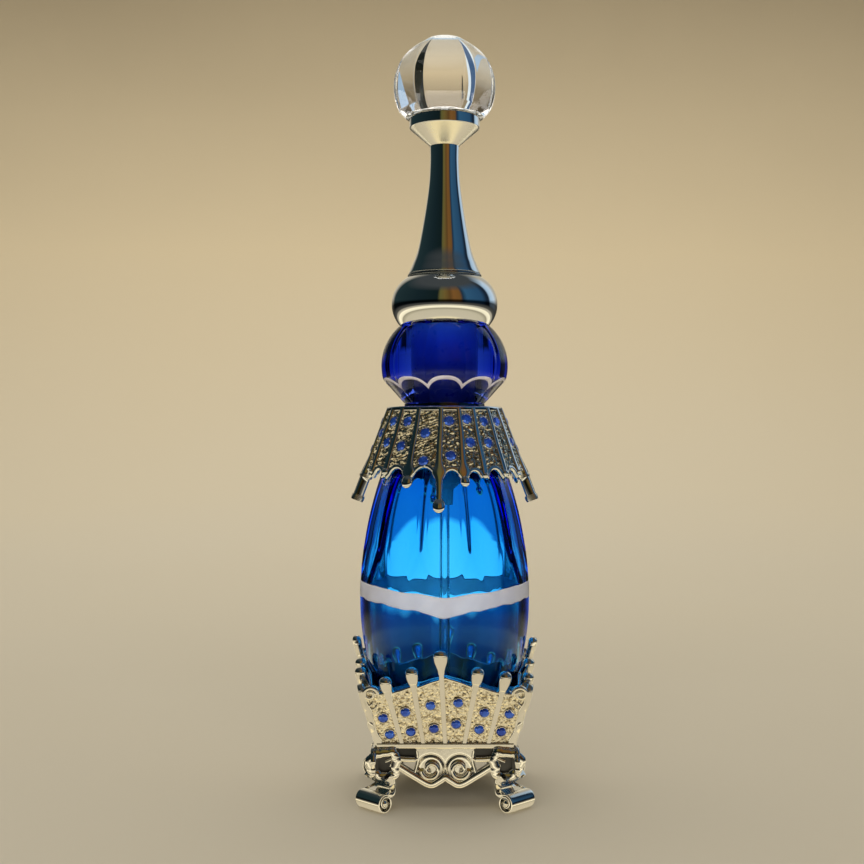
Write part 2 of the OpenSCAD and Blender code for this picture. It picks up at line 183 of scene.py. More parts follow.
def glass(name, ior, color, density, wave=0.04, rough=(0.0, 0.015)):
    """Clear or coloured glass. The colour sits in its volume, and faintly in its reflections."""
    m, nt, p = material(name, Base_Color=(1.0, 1.0, 1.0), Transmission_Weight=1.0, IOR=ior, Roughness=0.0)
    if density:
        p.inputs["Specular Tint"].default_value = (*(0.15 + 0.85 * c for c in color), 1)
    n = noise(nt, 90, 2)
    nt.links.new(ranged(nt, n.outputs["Fac"], *rough), p.inputs["Roughness"])
    bumped(nt, p, noise(nt, 160, 2).outputs["Fac"], wave, 0.0004)
    if density:
        absorbing(nt, color, density)
    return m


def metal(name, a, b, rough, bump=0.02, scale=700):
    m, nt, p = material(name, Metallic=1.0)
    tinted(nt, p, noise(nt, 60, 4).outputs["Fac"], a, b)
    nt.links.new(ranged(nt, noise(nt, 240, 5).outputs["Fac"], *rough), p.inputs["Roughness"])
    bumped(nt, p, noise(nt, scale, 3, 0.6).outputs["Fac"], bump, 0.0001)
    return m


def plastic(name, a, b, rough, **extra):
    m, nt, p = material(name, **extra)
    tinted(nt, p, noise(nt, 300, 4).outputs["Fac"], a, b)
    nt.links.new(ranged(nt, noise(nt, 900, 3).outputs["Fac"], *rough), p.inputs["Roughness"])
    bumped(nt, p, noise(nt, 2500, 3).outputs["Fac"], 0.06, 0.00005)
    return m


BOTTLE_GLASS = glass("bottle_glass", 1.44, (0.07, 0.765, 0.989), 890.0, 0.05)
BEAD_GLASS = glass("bead_glass", 1.44, (0.47, 0.60, 0.93), 470.0, 0.03)
CRYSTAL = glass("crystal_glass", 1.5, (1, 1, 1), 0, 0.01)
CHROME = metal("chrome_plate", (0.80, 0.84, 0.88), (0.90, 0.92, 0.94), (0.015, 0.05), 0.01)
SILVER = metal("silver_cast", (0.86, 0.84, 0.79), (0.95, 0.94, 0.91), (0.06, 0.16), 0.05, 1400)
GRAIN = metal("grained_field", (0.84, 0.77, 0.60), (0.99, 0.95, 0.84), (0.10, 0.26), 0.30, 2400)
_nt = GRAIN.node_tree
tinted(_nt, _nt.nodes["Principled BSDF"], noise(_nt, 1500, 3, 0.6).outputs["Fac"],
       (0.40, 0.34, 0.24), (0.97, 0.92, 0.78), (0.38, 0.52))
SATIN = metal("satin_chrome", (0.84, 0.84, 0.82), (0.92, 0.92, 0.90), (0.22, 0.30), 0.03, 1400)
# Dark metal for the backs and undersides of the cast pieces, the base plate and the sheets in the knee
# openings: painted shade where little light falls.
INSIDE_SHADE = metal("inside_painted_shade", (0.05, 0.055, 0.06), (0.16, 0.16, 0.17), (0.35, 0.6), 0.2, 1500)
DARK_PLATE = metal("dark_plate", (0.34, 0.37, 0.41), (0.50, 0.54, 0.58), (0.05, 0.12), 0.03)
STEEL = metal("plain_steel", (0.45, 0.45, 0.47), (0.62, 0.62, 0.64), (0.18, 0.32), 0.05, 900)
WHITE = plastic("white_plastic", (0.80, 0.80, 0.79), (0.90, 0.90, 0.89), (0.28, 0.40))
CLEAR_TUBE = glass("tube_plastic", 1.38, (1, 1, 1), 0, 0.02, (0.02, 0.08))
# The liner seen through the bead: dark navy at its bottom to bright blue at its top, painted shade below and a
# painted highlight band above, with a little random mottle.
LINER_PAINTED_LIGHT = plastic("liner_painted_highlight", (0.01, 0.05, 0.30), (0.02, 0.07, 0.40), (0.25, 0.40))
_nt = LINER_PAINTED_LIGHT.node_tree
_sep = parts_of(_nt, "Generated")
_mottle = maths(_nt, "MULTIPLY", maths(_nt, "SUBTRACT", noise(_nt, 300, 4).outputs["Fac"], 0.5), 0.15)
_nt.links.new(ramped(_nt, maths(_nt, "ADD", _sep.outputs["Z"], _mottle), [
    (0.0, (0.006, 0.012, 0.09)), (0.4, (0.03, 0.055, 0.30)), (0.72, (0.05, 0.18, 0.75)),
    (1.0, (0.09, 0.38, 1.0))]),
    _nt.nodes["Principled BSDF"].inputs["Base Color"])
RUBBER = plastic("seal_rubber", (0.03, 0.03, 0.035), (0.06, 0.06, 0.065), (0.55, 0.75))
ENAMEL = plastic("white_enamel", (0.72, 0.66, 0.68), (0.92, 0.86, 0.87), (0.35, 0.55),
                 Subsurface_Weight=0.2)
FROST = plastic("etched_band", (0.88, 0.86, 0.89), (0.98, 0.96, 0.98), (0.40, 0.55),
                Transmission_Weight=0.5, IOR=1.3)

STONE, _nt, _p = material("cut_stone", Metallic=0.75, Coat_Weight=0.6, Coat_Roughness=0.02, IOR=1.6)
tinted(_nt, _p, noise(_nt, 500, 2).outputs["Fac"], (0.02, 0.07, 0.50), (0.06, 0.20, 0.92))
_nt.links.new(ranged(_nt, noise(_nt, 800, 2).outputs["Fac"], 0.03, 0.09), _p.inputs["Roughness"])

# ---- mesh helpers


def put(name, verts, faces, mats, body, slot, nodes=(), smooth=True, index=None):
    """Makes one piece from vertices in millimetres."""
    me = bpy.data.meshes.new(name)
    me.from_pydata([tuple(v) for v in np.asarray(verts, float) * MM], [],
                   [tuple(int(i) for i in f) for f in faces])
    for m in mats:
        me.materials.append(m)
    me.polygons.foreach_set("use_smooth", [smooth] * len(me.polygons))
    if index is not None:
        me.polygons.foreach_set("material_index", [int(i) for i in index])
    bm = bmesh.new()
    bm.from_mesh(me)
    bmesh.ops.remove_doubles(bm, verts=bm.verts, dist=1e-7)
    bmesh.ops.recalc_face_normals(bm, faces=bm.faces)
    bm.to_mesh(me)
    bm.free()
    o = bpy.data.objects.new(name, me)
    scene.collection.objects.link(o)
    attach(o, body)
    if nodes:
        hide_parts(*nodes)
    return o


def creased(o, angle):
    o.data.set_sharp_from_angle(angle=math.radians(angle))
    return o


class Bag:
    """Vertices and faces of many small shapes, gathered into one piece."""

    def __init__(self):
        self.v, self.f, self.m, self.n = [], [], [], 0

    def add(self, verts, faces, mat=0):
        verts = np.asarray(verts, float).reshape(-1, 3)
        self.v.append(verts)
        self.f += [tuple(i + self.n for i in f) for f in faces]
        self.m += list(mat) if isinstance(mat, list) else [mat] * len(faces)
        self.n += len(verts)

    def bar(self, mat, *args, **kw):
        self.add(*sweep(*args, **kw), mat)

    def lump(self, mat, size, at, x, y, z):
        """An ellipsoid with its half lengths along x, y and z."""
        self.add(placed(BALL[0] * np.array(size), at, x, y, z), BALL[1], mat)

    def put(self, name, mats, body, slot, nodes=(), smooth=True):
        return put(name, np.concatenate(self.v), self.f, mats, body, slot, nodes, smooth, self.m)


def placed(v, origin, x, y, z):
    """Points moved into the frame of x, y and z at an origin."""
    return np.asarray(origin) + v[:, :1] * x + v[:, 1:2] * y + v[:, 2:3] * z


def ring_faces(rows, cols):
    """Quads between rows of points that each go all the way round."""
    return [(r * cols + c, r * cols + (c + 1) % cols, (r + 1) * cols + (c + 1) % cols, (r + 1) * cols + c)
            for r in range(rows - 1) for c in range(cols)]


def lathe(profile, segs=128):
    """A turned shape from (radius, height) pairs. A radius of 0 closes it at the axis."""
    a = np.linspace(0, 2 * math.pi, segs, endpoint=False)
    prof = np.asarray(profile, float)
    v = np.stack([prof[:, :1] * np.cos(a), prof[:, :1] * np.sin(a), np.repeat(prof[:, 1:2], segs, 1)], -1)
    return v.reshape(-1, 3), ring_faces(len(prof), segs)


_t = np.linspace(0.001, math.pi - 0.001, 18)
BALL = lathe(np.stack([np.sin(_t), np.cos(_t)], 1), 24)


def spline(pts, n):
    """A Catmull-Rom curve through the points, n steps each."""
    p = np.asarray(pts, float)
    q = np.vstack([2 * p[0] - p[1], p, 2 * p[-1] - p[-2]])
    out = []
    for i in range(1, len(q) - 2):
        for t in np.linspace(0, 1, n, endpoint=False):
            a, b, c, d = q[i - 1 : i + 3]
            out.append(0.5 * (2 * b + (c - a) * t + (2 * a - 5 * b + 4 * c - d) * t * t
                              + (3 * b - a - 3 * c + d) * t**3))
    out.append(q[-2])
    return np.array(out)


def rounded(pts, r=0.12, n=5):
    """Rounds the corners of an open profile with small arcs."""
    p = [np.array(x, float) for x in pts]
    out = [p[0]]
    for a, b, c in zip(p, p[1:], p[2:]):
        u, w = a - b, c - b
        lu, lw = np.linalg.norm(u), np.linalg.norm(w)
        k = min(r, 0.45 * lu, 0.45 * lw)
        s, e = b + u / lu * k, b + w / lw * k
        for t in np.linspace(0, 1, n):
            out.append((1 - t) ** 2 * s + 2 * t * (1 - t) * b + t * t * e)
    out.append(p[-1])
    return np.array(out)


def shell(front, back):
    """A closed sheet between two grids of the same size."""
    nu, nv = front.shape[:2]
    v = np.concatenate([front.reshape(-1, 3), back.reshape(-1, 3)])
    n = nu * nv
    f = []
    for i in range(nu - 1):
        for j in range(nv - 1):
            a = i * nv + j
            f.append((a, a + 1, a + nv + 1, a + nv))
            f.append((n + a, n + a + nv, n + a + nv + 1, n + a + 1))
    for j in range(nv - 1):
        f.append((j, n + j, n + j + 1, j + 1))
        a = (nu - 1) * nv + j
        f.append((a, a + 1, n + a + 1, n + a))
    for i in range(nu - 1):
        a = i * nv
        f.append((a, a + nv, n + a + nv, n + a))
        b = a + nv - 1
        f.append((b, n + b, n + b + nv, b + nv))
    return v, f


def two_sided(front, back, a=0, b=2, rim=1):
    """The sheet of shell(), with a material number for its front, its back and its rim."""
    v, f = shell(front, back)
    n = (front.shape[0] - 1) * (front.shape[1] - 1)
    return v, f, [a, b] * n + [rim] * (len(f) - 2 * n)


def sweep(path, normal, width, height, sides=14, sink=0.35, square=1.0, loop=False):
    """A rounded bar along a path. normal is its outward side, and it sinks below the path.

    width is half its breadth, and a square below 1 flattens its faces.
    """
    path, normal = np.asarray(path, float), np.asarray(normal, float)
    width, height = np.broadcast_to(width, len(path)), np.broadcast_to(height, len(path))
    tangent = np.roll(path, -1, 0) - np.roll(path, 1, 0) if loop else np.gradient(path, axis=0)
    tangent /= np.linalg.norm(tangent, axis=1)[:, None]
    normal = normal - (normal * tangent).sum(1)[:, None] * tangent
    normal /= np.linalg.norm(normal, axis=1)[:, None]
    side = np.cross(tangent, normal)
    t = np.linspace(0, 2 * math.pi, sides, endpoint=False)
    ct, st = (np.sign(g) * np.abs(g) ** square for g in (np.cos(t), np.sin(t)))
    v = (path[:, None] + side[:, None] * ct[None, :, None] * width[:, None, None]
         + normal[:, None] * ((st + 1) * 0.5 * (1 + sink) - sink)[None, :, None] * height[:, None, None])
    f = ring_faces(len(path), sides)
    if loop:
        k = (len(path) - 1) * sides
        return v.reshape(-1, 3), f + [(k + i, k + (i + 1) % sides, (i + 1) % sides, i) for i in range(sides)]
    f.append(tuple(range(sides - 1, -1, -1)))
    f.append(tuple(range((len(path) - 1) * sides, len(path) * sides)))
    return v.reshape(-1, 3), f


# ---- bottle

HALF_LOBE = math.pi / 10
FLUTE = math.cos(HALF_LOBE)
BELLY_R, BELLY_Z = 18.1, 41.3
ARC_ABOVE, ARC_BELOW = 81.75, 56.0
PAD_Z = 13.5


def arc_r(z):
    """The bottle's outline between the flutes: one arc above the belly and one below it."""
    z = np.asarray(z, float)
    a = np.where(z > BELLY_Z, ARC_ABOVE, ARC_BELOW)
    return BELLY_R - a + np.sqrt(a * a - (z - BELLY_Z) ** 2)


def flute_a(z):
    """How far a flute's flat lies from the axis. The flutes run out from 53 mm down."""
    z = np.asarray(z, float)
    k = np.clip((53 - z) / 9.5, 0, 1.6)
    return arc_r(z) * (FLUTE + (1.004 - FLUTE) * k)


def lobe_angle(theta):
    """Angle from the nearest flute or lobe centre, one of which faces the front."""
    d = 2 * HALF_LOBE
    return (theta + math.pi / 2 + d / 2) % d - d / 2


def bottle_r(theta, z):
    flat = flute_a(z) / np.cos(lobe_angle(theta))
    r = arc_r(z)
    k = 0.10
    h = np.clip(0.5 + 0.5 * (r - flat) / k, 0, 1)
    return r + (flat - r) * h - k * h * (1 - h)


N = 720
TH = np.linspace(0, 2 * math.pi, N, endpoint=False)


def ring(r, z, around=TH):
    """A row of points round the axis, at radius r and height z."""
    return np.stack([r * np.cos(around), r * np.sin(around), np.broadcast_to(z, around.shape)], 1)


outer_z = np.concatenate([[PAD_Z, 13.55, 13.7, 14.0], np.linspace(14.5, 73.0, 150)])
rows = []
for z in outer_z:
    r = bottle_r(TH, z)
    if z < 14.4:
        r = r - (0.5 - math.sqrt(max(0, 0.25 - (max(0, 14.0 - z)) ** 2)))
    rows.append(ring(r, z))
neck = rounded([(9.2, 73.6), (7.6, 75.2), (6.2, 76), (5.6, 76.6), (5.6, 77.5), (6.5, 77.5), (6.5, 80.2),
                (4.3, 80.2), (4.3, 76)], 0.3)
inner = spline([(4.3, 74.6), (5.4, 72.6), (8.2, 70.4), (10.6, 67), (12.6, 62), (14.1, 56), (15.2, 50),
                (15.9, 44), (15.9, 37), (15.2, 30), (13.5, 23.5), (10.6, 19), (6, 17.4), (1.2, 17.02)], 6)
rows = [ring(0.0001, PAD_Z)] + rows
for r, z in [*neck, *inner, (0.0001, 17.0)]:
    rr = np.full(N, r)
    if 43 < z < 73 and r > 5:
        rr = r - 0.75 * (arc_r(z) - bottle_r(TH, z)) * r / float(arc_r(z))
    rows.append(ring(rr, z))
creased(put("bottle_glass", np.concatenate(rows), ring_faces(len(rows), N), [BOTTLE_GLASS],
            "bottle_body", "glass_blue", ["bottle"]), 40)

# The etched white band, thickest in front, that dips under each flute.
nb, hb = 720, 10
tb = np.linspace(0, 2 * math.pi, nb + 1)
phi = lobe_angle(tb) / HALF_LOBE
away = np.sqrt(np.cos(tb) ** 2 + 0.01)
front_dip = np.exp(-(((tb - 1.5 * math.pi) / 0.27) ** 2)) + np.exp(-(((tb - 0.5 * math.pi) / 0.27) ** 2))
top = 43.5 + 1.9 * away + 0.25 * np.abs(phi) ** 1.6 + 0.06 * np.sin(13 * tb)
low = (top - (3.3 + 0.15 * np.abs(phi) ** 2 + 0.8 * front_dip) + 0.10 * np.sin(13 * tb + 1)
       + 0.06 * np.sin(29 * tb + 1))
front, back = np.zeros((nb + 1, hb, 3)), np.zeros((nb + 1, hb, 3))
for j in range(hb):
    z = low + (top - low) * j / (hb - 1)
    edge = 0.05 * min(1, 3 * min(j, hb - 1 - j) / (hb - 1))
    for g, lift in ((front, 0.03 + edge), (back, 0.012)):
        g[:, j] = ring(bottle_r(tb, z) + lift, z, tb)
put("etched_band", *shell(front, back), [FROST], "bottle_body", "enamel")

# ---- cap

BEAD_Z, BEAD_TALL = 83.2, 16.6


def bead_R(z):
    """The bead's outline: an arc with a bevel below."""
    z = np.asarray(z, float)
    R = 2.0 + np.sqrt(11.6**2 - (z - 91.2) ** 2)
    bevel = 8.7 + (z - BEAD_Z) * (12.45 - 8.7) / 4.2
    h = np.clip(0.5 + 0.5 * (R - bevel) / 0.25, 0, 1)
    return R + (bevel - R) * h - 0.25 * h * (1 - h)


def bead_r(theta, z):
    R = bead_R(z)
    x = np.abs(lobe_angle(theta)) / HALF_LOBE
    # A shallow groove between two lobes.
    return R - 0.02 - 0.20 * np.clip((x - 0.72) / 0.28, 0, 1) ** 2 * (R / 13.6)


rows = []
zz = 91.5 - 8.3 * np.cos(np.linspace(0, math.pi, 100))
k = (np.abs(lobe_angle(TH)) / HALF_LOBE) ** 2
for z in zz:
    t = (z - BEAD_Z) / BEAD_TALL
    r = bead_r(TH, z)
    if t > 0.93:
        r = r - 1.2 * (t - 0.93) ** 2 / 0.07
    rows.append(ring(r, z - 0.55 * k * t**6))
rows += [ring(7.26, z) for z in (99.75, 96, 90, 86, 83.25)]
rows.append(rows[0])
creased(put("bead_glass", np.concatenate(rows), ring_faces(len(rows), N), [BEAD_GLASS],
            "cap", "glass_cobalt", ["glass_bead"]), 50)

# The scalloped enamel line, with one arc on each lobe.
zl = 88.2 - 1.8 * np.abs(phi) ** 2.6
half = 0.34 + 0.05 * np.sin(7 * tb)
front, back = np.zeros((nb + 1, 7, 3)), np.zeros((nb + 1, 7, 3))
for j in range(7):
    s = -1 + 2 * j / 6
    z = zl + s * half * (1 + 0.6 * np.abs(phi) ** 3)
    for g, lift in ((front, 0.02 + 0.07 * (1 - s * s)), (back, 0.01)):
        g[:, j] = ring(bead_r(tb, z) + lift, z, tb)
put("bead_line", *shell(front, back), [ENAMEL], "cap", "enamel")

# The ball: six tall facets that die out towards the top, and a foot that sits in the cup.
BALL_R, BALL_Z, FACET = 10.95, 151, 0.917
ball = []
ta = np.linspace(0, 2 * math.pi, 480, endpoint=False)
side = (ta + math.pi / 2 + math.pi / 6) % (math.pi / 3) - math.pi / 6
for a in np.linspace(math.radians(-27.2), math.radians(89.6), 96):
    R = BALL_R * math.cos(a)
    c = FACET + 0.083 * min(1, max(0, (math.degrees(a) - 56) / 20)) ** 1.5
    flat = max(BALL_R * c * math.cos(a), 8.95 if a < 0 else 0) / np.cos(side)
    kk = 0.05
    h = np.clip(0.5 + 0.5 * (R - flat) / kk, 0, 1)
    r = R + (flat - R) * h - kk * h * (1 - h)
    ball.append(ring(np.maximum(r, 0.001), BALL_Z + BALL_R * math.sin(a), ta))
for r, z in [(8.4, 144.62), (8.25, 144.6), (7.7, 144.6), (7.6, 144.68), (7.6, 145.18), (7.5, 145.22),
             (0.001, 145.22)]:
    ball.insert(0, ring(r, z, ta))
ball.append(ring(0.0001, 161.94, ta))
creased(put("crystal_ball_cut", np.concatenate(ball), ring_faces(len(ball), len(ta)), [CRYSTAL],
            "cap", "crystal", ["crystal_ball"]), 30)

# Chromed pieces turned round the tie rod. The cup's cone has a satin finish.
TURNED, ROD_R = 192, 1.7
BULB_FOOT, BULB_TOP = 99.8, 110.3
cup = np.vstack([[(0.001, 145.16)],
                 rounded([(7.3, 145.16), (7.52, 145.1), (7.52, 142.3), (7.42, 142.16)], 0.06),
                 rounded([(7.36, 142.1), (3.45, 138.75), (3.12, 138.4)], 0.3)])
v, f = lathe(cup, TURNED)
creased(put("finial_cup_turned", v, f, [CHROME, SATIN], "cap", "plated", ["finial_cup"],
            index=[1 if cup[i // TURNED][1] < 142.2 else 0 for i in range(len(f))]), 40)
stem = spline([(3.1, 138.4), (3.08, 135), (3.35, 130.3), (4.1, 124.8), (5.15, 118.9), (5.9, 115.6),
               (6.85, 113.1), (7.6, 111.3), (7.66, 110.95)], 12)
put("trumpet_stem_turned", *lathe(stem, TURNED), [CHROME], "cap", "plated", ["trumpet_stem"])
foot = rounded([(ROD_R, 110.9), (7.75, 110.9), (7.93, 110.75), (7.93, 110.4), (7.75, BULB_TOP),
                (ROD_R, BULB_TOP)], 0.1)
put("stem_ring_turned", *lathe(foot, TURNED), [DARK_PLATE], "cap", "dark_ring", ["stem_ring"])
bulb = [(4.665 + math.sqrt(6.69**2 - (z - 104.37) ** 2), z) for z in np.linspace(BULB_FOOT, BULB_TOP, 60)]
creased(put("bulb_turned", *lathe([(ROD_R, BULB_FOOT), *bulb, (ROD_R, BULB_TOP)], TURNED), [CHROME],
            "cap", "plated", ["bulb"]), 40)

# ---- cut stones


def brilliant(n=8):
    """A round brilliant of girdle radius 1 mm, girdle at height 0."""
    v, f = [(0, 0, 0.40)], []
    a = 2 * math.pi / n
    for i in range(n):
        v.append((0.56 * math.cos(a * i), 0.56 * math.sin(a * i), 0.40))
    for i in range(n):
        v.append((0.80 * math.cos(a * (i + 0.5)), 0.80 * math.sin(a * (i + 0.5)), 0.25))
    for i in range(2 * n):
        v.append((math.cos(a * i / 2), math.sin(a * i / 2), 0.03))
    for i in range(2 * n):
        v.append((math.cos(a * i / 2), math.sin(a * i / 2), -0.08))
    v.append((0, 0, -0.45))
    t, s, g, u, c = 1, 1 + n, 1 + 2 * n, 1 + 4 * n, 1 + 6 * n
    for i in range(n):
        j = (i + 1) % n
        f.append((0, t + i, t + j))
        f.append((t + i, s + i, t + j))
        f.append((t + i, s + (i - 1) % n, g + 2 * i, s + i))
        f.append((s + i, g + 2 * i, g + (2 * i + 1) % (2 * n)))
        f.append((s + i, g + (2 * i + 1) % (2 * n), g + (2 * i + 2) % (2 * n)))
    for i in range(2 * n):
        j = (i + 1) % (2 * n)
        f.append((g + i, u + i, u + j, g + j))
        f.append((u + i, c, u + j))
    return np.array(v), f


GEM = brilliant()


def bezel(r=1.12, tube=0.17, prongs=4, turn=0.4):
    """A rolled rim with small claws, lying on a plane at height 0."""
    bag = Bag()
    m, n = 28, 8
    a = np.linspace(0, 2 * math.pi, m, endpoint=False)
    b = np.linspace(0, 2 * math.pi, n, endpoint=False)
    reach = (r + tube * np.cos(b))[None]
    v = np.stack([reach * np.cos(a)[:, None], reach * np.sin(a)[:, None],
                  np.broadcast_to(0.06 + tube * 1.3 * np.sin(b), (m, n))], -1)
    bag.add(v.reshape(-1, 3), [(i * n + j, i * n + (j + 1) % n, (i + 1) % m * n + (j + 1) % n,
                                (i + 1) % m * n + j) for i in range(m) for j in range(n)])
    sv, sf = lathe([(0.001, 0.26), (0.10, 0.24), (0.17, 0.15), (0.19, 0.0), (0.19, -0.25), (0.001, -0.25)], 10)
    for i in range(prongs):
        t = turn + 2 * math.pi * i / prongs
        bag.add(sv + np.array([0.98 * math.cos(t), 0.98 * math.sin(t), 0.18]), sf)
    return np.concatenate(bag.v), bag.f


BEZEL = bezel()


# ---- grained field


def grain(u, w, cell=0.62, seed=3):
    """Height of a field of small studs and pits, for surface distances u and w in mm."""
    out = np.zeros(u.shape)
    for layer, (c, amp) in enumerate(((cell, 1.0), (cell * 0.55, 0.45))):
        iu, iw = np.floor(u / c).astype(int), np.floor(w / c).astype(int)
        best = np.full(u.shape, 9.0)
        for di in (-1, 0, 1):
            for dj in (-1, 0, 1):
                ci, cj = iu + di, iw + dj
                k = np.sin(ci * 12.9898 + cj * 78.233 + (seed + layer) * 37.719) * 43758.5453
                h, h2 = k % 1.0, (k * 7.31) % 1.0
                px = (ci + 0.1 + 0.8 * h) * c
                py = (cj + 0.1 + 0.8 * h2) * c
                best = np.minimum(best, np.hypot(u - px, w - py) / c)
        out += amp * np.clip(1 - (best / 0.62) ** 2, -0.3, 1)
    return out


# ---- collar

CANG = math.radians(20.8)
COLLAR_Z, COLLAR_R, HEM_Z = 82.4, 12.25, 68.0
# Each rib: its direction from the front, the height of its tip and the size of its head.
RIBS = [(-4, 61.2, 1.4), (13, 66.3, 1.1), (28, 67.4, 1), (46, 67.6, 1.2), (63, 68.2, 0.7),
        (80, 62.6, 1.4), (98, 67.4, 0.8), (116, 65.8, 1.2), (136, 67.4, 1.2), (154, 64.2, 1.3),
        (172, 68.2, 0.7), (190, 61.8, 1.4), (208, 67.2, 1.1), (226, 65.4, 1.2), (244, 68.2, 0.7),
        (262, 66.6, 1.2), (280, 62.6, 1.4), (297, 68.2, 0.7), (314, 67.8, 1.3), (334, 66, 1.3)]
SIDE_DRIPS = (80, 280)
# Each stone on the skirt: its direction and its height.
SEATS = [(-54.5, 79.3), (-54.5, 74.9), (-36, 79.3), (-37, 74.2), (-17, 76.9), (-16, 71.2), (3.5, 79.4),
         (4, 72.3), (20, 79.8), (20.5, 75), (37.5, 79.3), (37, 74.9), (54.5, 79.3), (71.5, 75),
         (89, 79.4), (89, 73.6), (107, 78), (126, 79.4), (126, 73.8), (145, 76.4), (163, 79.4),
         (163, 73.2), (181, 76.4), (199, 79.4), (199, 73), (217, 76.2), (235, 79.4), (253, 75),
         (271, 79.4), (271, 73.6), (288.5, 76.8)]


def cone_r(z):
    return COLLAR_R + (COLLAR_Z - np.asarray(z, float)) * math.tan(CANG)


def on_cone(az, z, lift=0.0):
    """A point on the cone, at an angle from the front, lifted off it."""
    a = np.radians(np.asarray(az, float))
    z = np.asarray(z, float)
    r = cone_r(z) + lift * math.cos(CANG)
    return np.stack([r * np.sin(a), -r * np.cos(a), z + lift * math.sin(CANG)], -1)


def cone_frame(az):
    """Directions on the cone: across it, up it and out of it."""
    a = math.radians(az)
    n = np.array([math.sin(a) * math.cos(CANG), -math.cos(a) * math.cos(CANG), math.sin(CANG)])
    x = np.array([math.cos(a), math.sin(a), 0])
    return x, np.cross(n, x), n


# The hem: an arch between each two ribs.
hem_r = float(cone_r(HEM_Z))
azs = np.linspace(-4, 356, 1081)
low = np.full(azs.shape, HEM_Z)
for (a, *_), (b, *_) in zip(RIBS, RIBS[1:] + [(RIBS[0][0] + 360, 0, 0)]):
    w = math.radians(b - a) * hem_r - 1.2
    u = (azs - (a + b) / 2) / math.degrees(w / 2 / hem_r)
    low = np.where(np.abs(u) < 1, HEM_Z - 0.15 * w + np.sqrt(np.clip(1 - u * u, 0, 1)) * w / 2, low)
rows = 110
front, back = np.zeros((rows, len(azs), 3)), np.zeros((rows, len(azs), 3))
for i in range(rows):
    z = 81.8 + (low + 0.25 - 81.8) * i / (rows - 1)
    g = grain(np.radians(azs) * cone_r(z), z / math.cos(CANG), 0.92)
    near = np.full(azs.shape, 9.0)
    for sa, sz in SEATS:
        d = (azs - sa + 180) % 360 - 180
        near = np.minimum(near, np.hypot(np.radians(d) * cone_r(z), (z - sz) / math.cos(CANG)))
    calm = np.clip((near - 1.2) / 0.3, 0, 1)
    front[i] = on_cone(azs, z, -0.50 + 0.27 * g * calm)
    back[i] = on_cone(azs, z, -1.35)
front[:, -1], back[:, -1] = front[:, 0], back[:, 0]
bag = Bag()
bag.add(*two_sided(front, back))
outward = on_cone(azs[:-1], low[:-1], 1.0) - on_cone(azs[:-1], low[:-1], 0.0)
bag.bar(1, on_cone(azs[:-1], low[:-1] + 0.42, -0.75), outward, 0.5, 0.62, 14, 0.8, 0.7, True)
for az, tip, head in RIBS:
    z_end = tip + head * 0.9
    f = np.linspace(0, 1, 48)
    z = 82.0 + (z_end - 82.0) * f
    long = z_end < 67.6
    wide = 0.44 + 0.22 * head
    w = 0.50 + (wide - 0.50) * np.clip((82 - z) / 13, 0, 1)
    if long:
        below = np.clip((69.4 - z) / max(0.6, 69.4 - z_end), 0, 1)
        flare = np.exp(-(((z - 69.0) / 1.1) ** 2))
        w = w + 0.75 * flare - (w - 0.42 * head) * np.clip(below * 1.6, 0, 1)
    path = on_cone(az + 0.5 * np.sin(f * 5 + az) * np.sin(f * math.pi), z, -0.62)
    x, y, nn = cone_frame(az)
    if az in SIDE_DRIPS:
        # The drips at both sides: square bars with a ledge and a pale cap.
        w = 0.62 + 0.95 * np.clip((73 - z) / 4, 0, 1) - 0.35 * np.clip((68 - z) / 0.6, 0, 1)
        thick = 0.72 + 0.75 * np.clip((72 - z) / 3, 0, 1) - 0.15 * np.clip((68 - z) / 0.6, 0, 1)
        bag.bar(1, path - nn * (thick - 0.72)[:, None] * 0.6, nn, w, thick, 18, 0.6, 0.45)
        for zc, ww, half in ((67.9, 1.7, 0.35), (z_end - 0.5, 1.3, 0.6)):
            pc = on_cone(az, np.linspace(zc + half, zc - half, 9), -0.80)
            bag.bar(3, pc, nn, ww, 1.22 + 0.12 * np.sin(np.linspace(0, math.pi, 9)), 18, 1.0, 0.5)
        continue
    bag.bar(1, path, nn, w, 0.72, 18, 0.5, 0.6)
    rr = head * (0.90 if long else 0.72)
    tall = 1.25 if long else 0.9
    bag.lump(1, [rr, rr * tall, 0.80], on_cone(az, z_end, -0.42) - y * (0.05 * rr), x, y, nn)
rim = rounded([(11.2, 81.5), (12.1, 81.3), (12.42, 81.5), (12.42, 82.1), (12.2, 82.38), (11.4, COLLAR_Z),
               (7.2, COLLAR_Z), (7.2, 81.5), (11.2, 81.5)], 0.14)
bag.add(*lathe(rim, TURNED), 1)
gems = Bag()
for az, z in SEATS:
    x, y, n = cone_frame(az)
    o = on_cone(az, z, -0.42)
    bag.add(placed(BEZEL[0] * np.array([1.06, 1.06, 1]), o, x, y, n), BEZEL[1], 1)
    gems.add(placed(GEM[0] * 1.12, o + n * 0.12, x, y, n), GEM[1])
creased(bag.put("collar_cast", [GRAIN, CHROME, INSIDE_SHADE, SATIN], "bottle_body", "plated_grain", ["collar"]), 60)
gems.put("collar_gems", [STONE], "bottle_body", "stone", ["collar_stones"], smooth=False)

# ---- crown

LEAN = math.radians(15.9)
CROWN_OUT, CROWN_Z = 14.1, 12.9
# The panel's upper edge, as points across and up it.
TOPS = [(-20, 12), (-15.2, 12.2), (-13.4, 11.6), (-11.2, 11.8), (-9, 12.4), (-7, 13.2), (-5.2, 13.2),
        (-3, 14.2), (0, 15.2), (3, 14.2), (5.2, 13.2), (7, 13.2), (9, 12.4), (11.2, 11.8),
        (13.4, 11.6), (15.2, 12.2), (20, 12)]
# Each rib: where it starts and ends across the panel, the height of its tip, its head's size.
CRIBS = [(0, -1, 20.9, 1.5), (-4.4, -6.8, 17.1, 1.35), (3.8, 6.5, 17.1, 1.35), (-8.7, -12.1, 15, 1.3),
         (8.7, 12.1, 16.2, 1.3)]
